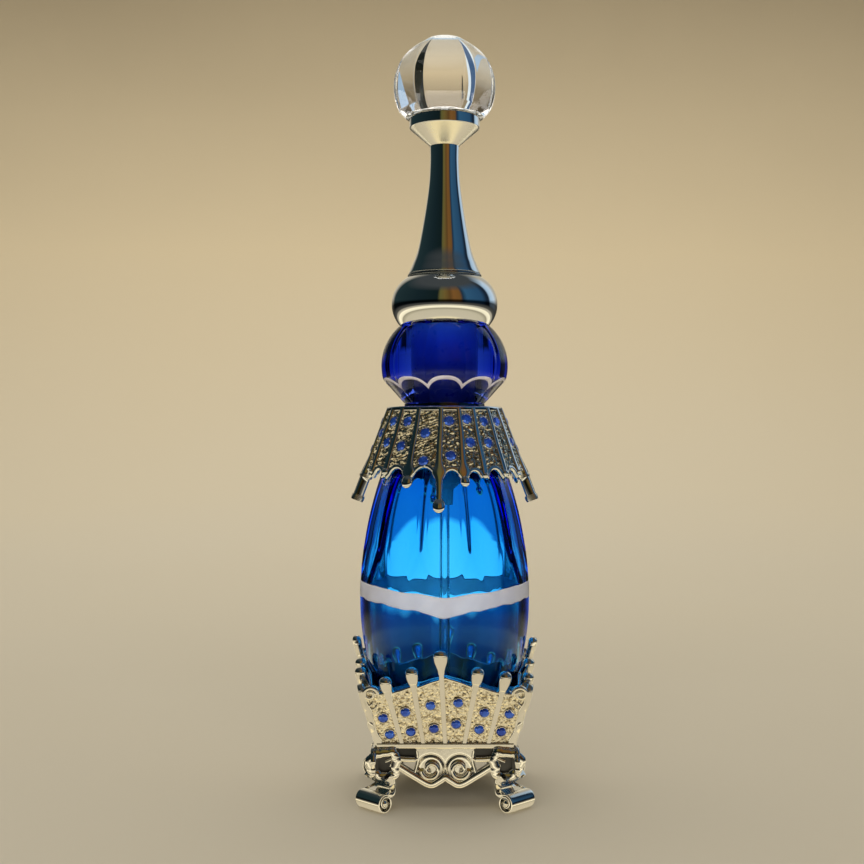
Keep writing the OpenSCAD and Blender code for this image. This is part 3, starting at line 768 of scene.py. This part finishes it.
# Each stone: across and up the panel.
CSEATS = [(-12.6, 6.4), (-11.3, 3), (-8.1, 7.7), (-7, 3.6), (-3, 9.2), (-2.3, 4.3), (2.6, 9.8), (2.2, 5.3),
          (7.9, 7.6), (6.9, 4.1), (13, 7.3), (11.4, 3.6)]


def turned(side, x, out, z):
    """A point x across and out from the axis, on one of the four sides in turn."""
    c, s = [(1, 0), (0, 1), (-1, 0), (0, -1)][side]
    return np.stack([x * c + out * s, x * s - out * c, z], -1)


def top_edge(x):
    return np.interp(x, *zip(*TOPS))


def on_crown(side, x, y, lift=0.0):
    """A point on a leaning panel, x across and y up it, lifted off its outer face."""
    x, y = np.broadcast_arrays(np.asarray(x, float), np.asarray(y, float))
    d = CROWN_OUT + y * math.sin(LEAN) + lift * math.cos(LEAN)
    return turned(side, x, d, CROWN_Z + y * math.cos(LEAN) - lift * math.sin(LEAN))


def room_behind(x, y):
    """How thick the panel may be at a point before it meets the glass."""
    z = CROWN_Z + y * math.cos(LEAN)
    glass_y = np.sqrt(np.clip(arc_r(z) ** 2 - np.asarray(x, float) ** 2, 0, None))
    return (CROWN_OUT + y * math.sin(LEAN) - glass_y) * math.cos(LEAN) - 0.35


def seat_y(y):
    """The stones sit a little lower than their seats in the design, the lower row most."""
    return y - (0.4 if y < 5.5 else 0.1)


gems = Bag()
for side, name in enumerate(["crown_front", "crown_right", "crown_back", "crown_left"]):
    bag = Bag()
    nu, nv = 300, 96
    u = np.linspace(-1, 1, nu)
    front, back = np.zeros((nv, nu, 3)), np.zeros((nv, nu, 3))
    for i in range(nv):
        t = i / (nv - 1)
        x = u * 16.9
        for _ in range(4):
            y = -0.5 + (top_edge(x) + 0.5) * t
            x = u * (14.05 + y * math.sin(LEAN))
        g = grain(x + 50, y + 30, 0.62, 11 + side)
        near = np.full(x.shape, 9.0)
        for sx, sy in CSEATS:
            near = np.minimum(near, np.hypot(x - sx, y - seat_y(sy)))
        calm = np.clip((near - 1.1) / 0.3, 0, 1) * np.clip((1 - t) * 14, 0, 1)
        front[i] = on_crown(side, x, y, -0.20 + 0.12 * g * calm)
        thick = np.clip(room_behind(x, y), 1.0, 2.4) * (0.6 + 0.4 * t)
        back[i] = on_crown(side, x * (1 - thick * 1.02 / 16), y, -thick)
    bag.add(*two_sided(front, back))
    o3 = on_crown(side, 0.0, 0.0, 0.0)
    ax = on_crown(side, 1.0, 0.0, 0.0) - o3
    ay = on_crown(side, 0.0, 1.0, 0.0) - o3
    an = on_crown(side, 0.0, 0.0, 1.0) - o3
    xt = np.linspace(-15.9, 15.9, 160)
    yt = top_edge(xt)
    deep = np.clip(room_behind(xt, yt), 1.0, 2.3)
    bag.bar(1, on_crown(side, xt, yt - 0.2, 0.02 - deep / 2), ay, deep / 2 + 0.02, 0.30, 16, 0.6, 0.5)
    for x0, x1, top, head in CRIBS:
        y = 0.5 + (top - 1.5) * np.sin(np.linspace(0, math.pi / 2, 70)) ** 0.9
        x = x0 + (x1 - x0) * np.clip(y / (top - 1.2), 0, 1)
        free = np.clip((y - top_edge(x1) + 1.2) / 1.6, 0, 1)
        k = np.clip((top - y - 1.6) / 3.0, 0, 1)
        k = k * k * (3 - 2 * k)
        flare = head * 0.97 * (1 - k) + 0.72 * k
        w = np.maximum(0.44 + 0.18 * y / top, np.where(y > top - 4.8, flare, 0))
        deep = 0.55 + free * (np.clip(room_behind(x, y), 1.0, 2.3) - 0.55)
        bag.bar(1, on_crown(side, x, y, 0.28 - deep / 2), an, w, deep / 2, 20, 1.0, 0.5)
        end = float(deep[-1])
        bag.lump(1, [head * 0.95, 1.0, end * 0.5], on_crown(side, x1, top - 1.02, 0.28 - end / 2), ax, ay, an)
    xs = np.linspace(-13.95, 13.95, 60)
    bag.bar(1, on_crown(side, xs, 0.12, 0.10), an, 0.66, 0.36, 14, 1.0, 0.6)
    ye = np.linspace(-0.4, 12.2, 40)
    for sgn in (-1, 1):
        xe = sgn * (13.55 + ye * math.sin(LEAN) - 0.18 * np.sin(ye * 1.1))
        bag.bar(1, on_crown(side, xe, ye, -0.35), an, 0.78 + 0.10 * np.sin(ye * 1.7), 0.62, 16, 0.9, 0.6)
        a = np.linspace(0, 2.6 * math.pi, 60)
        rad = 1.55 * (1 - a / (3.6 * math.pi))
        xc, yc = sgn * (16.1 - rad * np.cos(a)) - sgn * 0.9, 11.6 + rad * np.sin(a)
        bag.bar(1, on_crown(side, xc, yc, -0.30), an, 0.38, 0.55, 14, 1.4, 0.7)
        for k in range(3):
            px, py = sgn * (15.0 - 0.75 * k), 9.4 - 0.75 * k
            bag.lump(1, [0.28, 0.75, 0.45], on_crown(side, px, py, -0.05),
                     ax * math.cos(0.6) + ay * sgn * math.sin(0.6),
                     ay * math.cos(0.6) - ax * sgn * math.sin(0.6), an)
    for sx, sy in CSEATS:
        o = on_crown(side, sx, seat_y(sy), -0.14)
        bag.add(placed(BEZEL[0] * np.array([0.98, 0.98, 0.8]), o, ax, ay, an), BEZEL[1], 0)
        gems.add(placed(GEM[0] * 1.08, o + an * 0.10, ax, ay, an), GEM[1])
    creased(bag.put(name + "_cast", [GRAIN, SILVER, INSIDE_SHADE], "bottle_body", "plated_grain", [name]), 60)
gems.put("crown_gems", [STONE], "bottle_body", "stone", ["crown_stones"], smooth=False)

# ---- stand

STAND_OUT = 14.2
EYE_X, EYE_Z = 2.95, 8.2


def on_side(side, x, z, lift):
    """A point on one side of the stand, x across, lifted off its outer plane."""
    x, z, d = np.broadcast_arrays(np.asarray(x, float), np.asarray(z, float),
                                  STAND_OUT + np.asarray(lift, float))
    return turned(side, x, d, z)


# The apron's lower edge, shaped like an M.
M_EDGE = spline([(-11.2, 8.7), (-9.5, 8.2), (-6.2, 6.2), (-3.1, 4.55), (-1.2, 5.3), (0, 6), (1.2, 5.3),
                 (3.1, 4.55), (6.2, 6.2), (9.5, 8.2), (11.2, 8.7)], 12)
for side, name in enumerate(["apron_front", "apron_right", "apron_back", "apron_left"]):
    bag = Bag()
    an = on_side(side, 0.0, 0.0, 1.0) - on_side(side, 0.0, 0.0, 0.0)
    nu, nv = 80, 40
    front, back = np.zeros((nv, nu, 3)), np.zeros((nv, nu, 3))
    for i in range(nv):
        t = i / (nv - 1)
        x = np.linspace(-5.9, 5.9, nu) * (1 - 0.06 * t)
        bottom = np.interp(x, M_EDGE[:, 0], M_EDGE[:, 1]) + 0.3
        z = 12.75 + (bottom - 12.75) * t
        d = np.minimum(np.hypot(x - EYE_X, z - EYE_Z), np.hypot(x + EYE_X, z - EYE_Z))
        swell = -0.75 / (1 + np.exp((d - 2.7) * 10))
        front[i] = on_side(side, x, z, 0.12 + swell)
        back[i] = on_side(side, x, z, -1.9)
    bag.add(*two_sided(front, back, 0, 1, 0))
    bag.bar(0, on_side(side, M_EDGE[:, 0], M_EDGE[:, 1] + 0.55, -0.50), an, 0.72, 0.98, 18, 0.9, 0.45)
    for sgn in (-1, 1):
        a = np.linspace(0, 2.45 * math.pi, 80)
        rad = 1.95 - 1.45 * (a / a[-1]) ** 1.2
        ang = -0.05 * math.pi - a
        w = 0.50 - 0.10 * a / a[-1]
        bag.bar(0, on_side(side, sgn * (EYE_X + rad * np.cos(ang)), EYE_Z + rad * np.sin(ang), -0.30), an,
                w, 1.05, 16, 0.5, 0.8)
        arm = spline([(12.2, 9.7), (10.5, 10.35), (8.5, 10.2), (6.6, 10.0), (5.6, 10.35)], 10)
        bag.bar(0, on_side(side, sgn * arm[:, 0], arm[:, 1], -0.7), an, 0.40, 0.95, 14, 0.6, 0.7)
        strut = spline([(5.7, 11.9), (5.55, 10.2), (5.9, 8.6), (6.3, 7.2)], 10)
        bag.bar(0, on_side(side, sgn * strut[:, 0], strut[:, 1], -0.7), an, 0.36, 0.9, 14, 0.6, 0.7)
    creased(bag.put(name + "_cast", [SILVER, INSIDE_SHADE], "bottle_body", "plated", [name]), 60)

# The leg's outer and inner line, as points out from the axis and up.
ROLL_OUT, ROLL_Z = 20.6, 1.95
L_OUT = spline([(20.3, 7.2), (19.6, 6.3), (18.4, 5.5), (18.1, 4.7), (18.7, 4.1), (20.0, 3.75)], 12)
L_IN = spline([(18.8, 6.9), (18.2, 6.2), (17.1, 5.4), (16.8, 4.5), (17.7, 3.2), (19.8, 3.0)], 12)
for name, turn in (("leg_fl", 225), ("leg_fr", 315), ("leg_br", 45), ("leg_bl", 135)):
    a = math.radians(turn)
    er, et = np.array([math.cos(a), math.sin(a), 0]), np.array([-math.sin(a), math.cos(a), 0])
    ez = np.array([0, 0, 1.0])
    bag = Bag()
    mid, gap = (L_OUT + L_IN) / 2, L_OUT - L_IN
    path = mid[:, :1] * er + mid[:, 1:] * ez
    nn = gap[:, :1] * er + gap[:, 1:] * ez
    half = np.linalg.norm(gap, axis=1) / 2
    f = np.linspace(0, 1, len(path))
    bag.bar(0, path, nn, 3.2 - 1.0 * np.sin(f * math.pi) ** 2, half, 28, 1.0, 0.35)
    # The foot: a sheet rolled into a scroll.
    q = np.linspace(0, 3.4 * math.pi, 110)
    rad = 1.72 * (1 - np.clip(q - 1.3 * math.pi, 0, None) / (3.3 * math.pi))
    ang = 0.62 * math.pi - q
    path = (ROLL_OUT + rad * np.cos(ang))[:, None] * er + (ROLL_Z + rad * np.sin(ang))[:, None] * ez
    nn = np.cos(ang)[:, None] * er + np.sin(ang)[:, None] * ez
    bag.bar(0, path, nn, 3.5, 0.20, 22, 1.0, 0.25)
    for sgn in (-1, 1):
        bag.lump(0, [0.75, 0.75, 0.5], ROLL_OUT * er + ROLL_Z * ez + sgn * 3.2 * et, er, ez, et)
        aside = sgn * (3.1 - 1.0 * np.sin(f * math.pi) ** 2)[:, None] * et
        bag.bar(0, mid[:, :1] * er + mid[:, 1:] * ez + aside, gap[:, :1] * er + gap[:, 1:] * ez,
                0.30, half + 0.22, 14, 1.0, 0.8)
    # The pierced knee: on both sides of the corner, a ragged frame around an opening that a dark sheet fills,
    # as painted shade.
    q = np.linspace(0, 2 * math.pi, 120, endpoint=False)
    wave = 1 + 0.07 * np.sin(3 * q + turn) + 0.05 * np.sin(7 * q) + 0.03 * np.sin(13 * q)
    for sgn in (-1, 1):
        out = (er + sgn * et) / math.sqrt(2)
        across = (et - sgn * er) / math.sqrt(2)
        centre = 12.5 * -sgn * across + 14.6 * out + 9.35 * ez
        corner = np.clip(-sgn * np.cos(q), 0, 1)
        fx = 2.6 * np.sign(np.cos(q)) * np.abs(np.cos(q)) ** 0.65 * wave
        fz = 2.45 * np.sign(np.sin(q)) * np.abs(np.sin(q)) ** 0.65 * (1 - 0.12 * corner) * wave
        path = centre + fx[:, None] * across + fz[:, None] * ez
        bag.bar(0, path, out + 0.12 * ez, 0.80 + 0.22 * np.sin(2 * q + 1) ** 2, 0.62, 16, 1.0, 0.75, True)
        # Behind each opening, a dark sheet of painted shade.
        s1, s2 = np.meshgrid(np.linspace(-2.4, 2.4, 12), np.linspace(-2.2, 2.2, 12), indexing="ij")
        sheet = centre + s1[..., None] * across + s2[..., None] * ez
        bag.add(*shell(sheet - out * 0.45, sheet - out * 1.0), 1)
        arm = spline([(9.9, 0.6), (8.2, 0.35), (6.2, 0.3)], 8)
        path = -sgn * arm[:, :1] * across + 14.3 * out + (10.0 + arm[:, 1:]) * ez
        bag.bar(0, path, out, 0.55, 0.7, 14, 0.8, 0.6)
    creased(bag.put(name + "_cast", [SILVER, INSIDE_SHADE], "bottle_body", "plated", [name]), 50)

# ---- carried-over nodes

FINISH = {
    CHROME: ["ferrule", "neck_ring"],
    INSIDE_SHADE: ["base_plate"],
    STEEL: ["leg_screws", "tie_rod", "pump_spring", "inlet_ball"],
    WHITE: ["pump_housing", "stem_guide", "pump_stem", "piston", "actuator_button", "nozzle_insert"],
    LINER_PAINTED_LIGHT: ["inner_cap"],
    CLEAR_TUBE: ["dip_tube"],
    RUBBER: ["neck_gasket", "seat_pad"],
}
for m, names in FINISH.items():
    for name in names:
        o = bpy.data.objects[name]
        if not o.data.materials:
            o.data.materials.append(m)
        for i in range(len(o.data.materials)):
            o.data.materials[i] = m

# ---- floor and backdrop


def stage_mesh(name, verts, faces, mat):
    """A mesh that isn't part of the object, in metres."""
    me = bpy.data.meshes.new(name)
    me.from_pydata([tuple(v) for v in verts], [], faces)
    me.materials.append(mat)
    me.polygons.foreach_set("use_smooth", [True] * len(me.polygons))
    o = bpy.data.objects.new(name, me)
    scene.collection.objects.link(o)
    return o


def seen_through_glass_only(o):
    o.visible_camera = o.visible_diffuse = o.visible_glossy = False
    o.visible_shadow = o.visible_volume_scatter = False


COVE, _nt, _p = material("cove_painted_falloff", Roughness=0.75, Specular_IOR_Level=0.15)
# The backdrop's colour is lighter on the floor and darker up the wall: painted shade for light that falls off
# with height, with a faint random noise.
_sep = parts_of(_nt, "Object")
_h = maths(_nt, "ADD", maths(_nt, "MULTIPLY", _sep.outputs["Z"], 1.5),
           maths(_nt, "MULTIPLY", maths(_nt, "SUBTRACT", noise(_nt, 4, 4).outputs["Fac"], 0.5), 0.10),
           clamp=True)
_nt.links.new(ramped(_nt, _h, [
    (0.0, (0.56, 0.51, 0.405)), (0.05, (0.57, 0.51, 0.39)), (0.35, (0.56, 0.475, 0.325)),
    (0.55, (0.45, 0.38, 0.26)), (0.74, (0.31, 0.26, 0.175)), (1.0, (0.26, 0.215, 0.145))]),
    _p.inputs["Base Color"])
bumped(_nt, _p, noise(_nt, 700, 3).outputs["Fac"], 0.05, 0.0002)
# A floor that turns up into the backdrop in one curve.
FLAT, CR = 0.42, 0.50
prof = [(-3.0, 0.0), (-1.0, 0.0), (-0.3, 0.0), (FLAT, 0.0)]
prof += [(FLAT + CR * math.sin(t), CR - CR * math.cos(t)) for t in np.linspace(0.04, math.pi / 2, 40)]
prof += [(FLAT + CR, 2.2)]
verts = [(x, y, z) for x in (-2.6, 2.6) for y, z in prof]
n = len(prof)
cove = stage_mesh("cove", verts, [(i, i + 1, n + i + 1, n + i) for i in range(n - 1)], COVE)
cove.visible_glossy = False

# A ring of soft glow around the glass, which only light passing through the glass meets.
GLOW, _nt, _em = emitting("backlight")
_sep = parts_of(_nt, "Object")
_m = maths(_nt, "COSINE", maths(_nt, "MULTIPLY", maths(_nt, "ARCTAN2", _sep.outputs["X"], _sep.outputs["Y"]),
                                4.0))
_z = maths(_nt, "MULTIPLY", _sep.outputs["Z"], 10.0)
_body = ramped(_nt, _z, [
    (0.0, (0.004, 0.008, 0.03)), (0.22, (0.008, 0.02, 0.08)), (0.30, (0.03, 0.08, 0.20)),
    (0.38, (0.10, 0.28, 0.48)), (0.56, (0.20, 0.46, 0.70)), (0.80, (0.22, 0.48, 0.74)),
    (0.88, (0.26, 0.38, 0.44)), (1.0, (0.36, 0.52, 0.62))])
# Its bright part: an arch on each of four sides, with a soft, uneven lower edge.
_arch = maths(_nt, "ADD", maths(_nt, "MULTIPLY", maths(_nt, "SUBTRACT", _m, 1.0), 0.07), 0.565)
_top = maths(_nt, "MULTIPLY", maths(_nt, "SUBTRACT", _arch, _z), 60.0, clamp=True)
_flame = noise(_nt, 60, 3, stretch=(1.0, 1.0, 0.12))
_edge = maths(_nt, "ADD", maths(_nt, "MULTIPLY", _flame.outputs["Fac"], 0.22), 0.19)
_bot = maths(_nt, "MULTIPLY", maths(_nt, "SUBTRACT", _z, _edge), 22.0, clamp=True)
_side = maths(_nt, "MULTIPLY", maths(_nt, "ADD", _m, 0.25), 5.0, clamp=True)
_win = maths(_nt, "MULTIPLY", maths(_nt, "MULTIPLY", _top, _bot), _side)
_mix = _nt.nodes.new("ShaderNodeMix")
_mix.data_type = "RGBA"
_nt.links.new(_win, _mix.inputs["Factor"])
_nt.links.new(_body, _mix.inputs["A"])
_mix.inputs["B"].default_value = (1.7, 1.55, 1.35, 1)
_nt.links.new(_mix.outputs["Result"], _em.inputs["Color"])
_fall = maths(_nt, "ADD", maths(_nt, "MULTIPLY", maths(_nt, "ADD", _m, 0.8), 1.2, clamp=True), 0.05)
_two = maths(_nt, "COSINE", maths(_nt, "MULTIPLY", maths(_nt, "ARCTAN2", _sep.outputs["X"], _sep.outputs["Y"]),
                                  2.0))
_two = maths(_nt, "ADD", maths(_nt, "MULTIPLY", _two, 0.35), 0.65)
_up = maths(_nt, "MULTIPLY", maths(_nt, "SUBTRACT", _z, 0.82), 20.0, clamp=True)
_nt.links.new(maths(_nt, "MAXIMUM", maths(_nt, "MULTIPLY", _fall, _two), _up), _em.inputs["Strength"])
seg, GLOW_R = 96, 0.058
verts = [(GLOW_R * math.sin(2 * math.pi * i / seg), GLOW_R * math.cos(2 * math.pi * i / seg), z)
         for z in (0.006, 0.108) for i in range(seg)]
glow = stage_mesh("backlight", verts, [(i, (i + 1) % seg, seg + (i + 1) % seg, seg + i) for i in range(seg)],
                  GLOW)
seen_through_glass_only(glow)


def flag(name, color, lo, hi):
    """Six narrow panels round the crystal ball, met only by light that passes through it.

    lo and hi are the angles of a panel's edges, from the middle of a facet.
    """
    m, nt, em = emitting(name)
    em.inputs["Color"].default_value = (*color, 1)
    verts, faces = [], []
    for turn in range(6):
        for i in range(5):
            a = math.radians(60 * turn + lo + (hi - lo) * i / 4)
            verts += [(0.040 * math.sin(a), 0.040 * math.cos(a), z) for z in (0.120, 0.200)]
            if i:
                k = len(verts)
                faces.append((k - 4, k - 2, k - 1, k - 3))
    seen_through_glass_only(stage_mesh(name, verts, faces, m))


flag("flag_dark", (0.008, 0.010, 0.007), 6.4, 12.6)
flag("flag_white_in", (0.75, 0.85, 0.90), -8.0, -6.8)
flag("flag_blue", (0.05, 0.11, 0.22), -11.2, -8.0)
flag("flag_white_out", (0.75, 0.85, 0.90), -12.8, -11.2)
flag("flag_pale", (0.35, 0.50, 0.66), 25.0, 27.6)

# ---- light

world = bpy.data.worlds.new("studio")
scene.world = world
world.use_nodes = True
wt = world.node_tree
_sep = parts_of(wt, "Generated")
_az = maths(wt, "ARCTAN2", _sep.outputs["X"], maths(wt, "MULTIPLY", _sep.outputs["Y"], -1.0))
_az = maths(wt, "ADD", maths(wt, "MULTIPLY", _az, 0.5 / math.pi), 0.5)
# What is round the object, by the angle from the front towards +X: pale behind, dark at the left,
# a dim brown in front, then blue and pale at the right.
stops = [(-180, (0.84, 0.78, 0.57)), (-167, (0.52, 0.46, 0.35)), (-158, (0.46, 0.42, 0.33)),
         (-141, (0.016, 0.032, 0.034)), (-60, (0.008, 0.018, 0.021)), (-16, (0.006, 0.013, 0.013)),
         (-10, (0.12, 0.105, 0.03)), (0, (0.15, 0.10, 0.026)), (12, (0.11, 0.055, 0.016)),
         (20, (0.19, 0.085, 0.022)), (34, (0.16, 0.075, 0.020)), (40, (0.012, 0.030, 0.050)),
         (50, (0.030, 0.095, 0.17)), (90, (0.022, 0.070, 0.135)), (104, (0.010, 0.020, 0.036)),
         (112, (0.010, 0.020, 0.036)), (119, (0.40, 0.55, 0.68)), (136, (0.55, 0.66, 0.74)),
         (152, (0.46, 0.42, 0.34)), (166, (0.50, 0.45, 0.34)), (180, (0.84, 0.78, 0.57))]
_side = ramped(wt, _az, [((d + 180) / 360, c) for d, c in stops])
# What is below the horizon, from straight down: pale, with a bright ring 16 to 22 degrees down.
_down = ramped(wt, maths(wt, "ADD", _sep.outputs["Z"], 1.0), [
    (0.0, (1.05, 0.86, 0.46)), (0.12, (0.95, 0.80, 0.46)), (0.20, (0.64, 0.55, 0.38)),
    (0.48, (0.60, 0.52, 0.35)), (0.585, (0.36, 0.31, 0.20)), (0.625, (1.0, 0.88, 0.60)),
    (0.72, (1.15, 1.02, 0.70)), (0.75, (0.55, 0.48, 0.34)), (0.80, (0.42, 0.37, 0.27)),
    (0.84, (0.08, 0.075, 0.06)), (0.95, (0.03, 0.03, 0.028)), (1.0, (0.02, 0.02, 0.02))])


def blended(nt, fac, a, b):
    m = nt.nodes.new("ShaderNodeMix")
    m.data_type = "RGBA"
    for key, v in (("Factor", fac), ("A", a), ("B", b)):
        if isinstance(v, tuple):
            m.inputs[key].default_value = v
        else:
            nt.links.new(v, m.inputs[key])
    return m.outputs["Result"]


_low = maths(wt, "MULTIPLY", maths(wt, "ADD", _sep.outputs["Z"], 0.02), -14.0, clamp=True)
_high = maths(wt, "MULTIPLY", maths(wt, "SUBTRACT", _sep.outputs["Z"], 0.6), 4.0, clamp=True)
_near = maths(wt, "MULTIPLY", maths(wt, "SUBTRACT", _sep.outputs["Z"], 0.05), 9.0)
_near = maths(wt, "MINIMUM", maths(wt, "MAXIMUM", _near, 0.10), 1.0)
_side = blended(wt, _near, (0.0, 0.0, 0.0, 1), _side)
_sky = blended(wt, _high, blended(wt, _low, _side, _down), (0.05, 0.055, 0.055, 1))
_lp = wt.nodes.new("ShaderNodeLightPath")
wt.links.new(blended(wt, _lp.outputs["Is Camera Ray"], _sky, (0.50, 0.43, 0.31, 1)),
             wt.nodes["Background"].inputs["Color"])


def area(name, loc, target, size, power, color):
    """A soft lamp that isn't seen in reflections."""
    d = bpy.data.lights.new(name, "AREA")
    d.shape = "RECTANGLE"
    d.size, d.size_y = size
    d.energy = power
    d.color = color
    o = bpy.data.objects.new(name, d)
    o.location = loc
    o.rotation_euler = (Vector(target) - Vector(loc)).to_track_quat("-Z", "Y").to_euler()
    o.visible_glossy = False
    scene.collection.objects.link(o)


area("overhead", (-0.06, 0.22, 0.95), (0, 0.10, 0), (1.9, 1.5), 11.5, (1.0, 0.96, 0.88))
area("wall_wash", (0.0, 0.30, 0.62), (0, 0.92, 0.20), (1.2, 0.2), 2.2, (1.0, 0.94, 0.82))
area("low_front", (0.0, -0.80, 0.22), (0, 0, 0.05), (1.0, 0.4), 5.3, (1.0, 0.97, 0.93))

scene.view_settings.view_transform = "Standard"
scene.view_settings.look = "None"
scene.cycles.max_bounces = 16
scene.cycles.transmission_bounces = 14
scene.cycles.transparent_max_bounces = 12
scene.cycles.glossy_bounces = 6
scene.cycles.caustics_refractive = True
scene.cycles.caustics_reflective = True
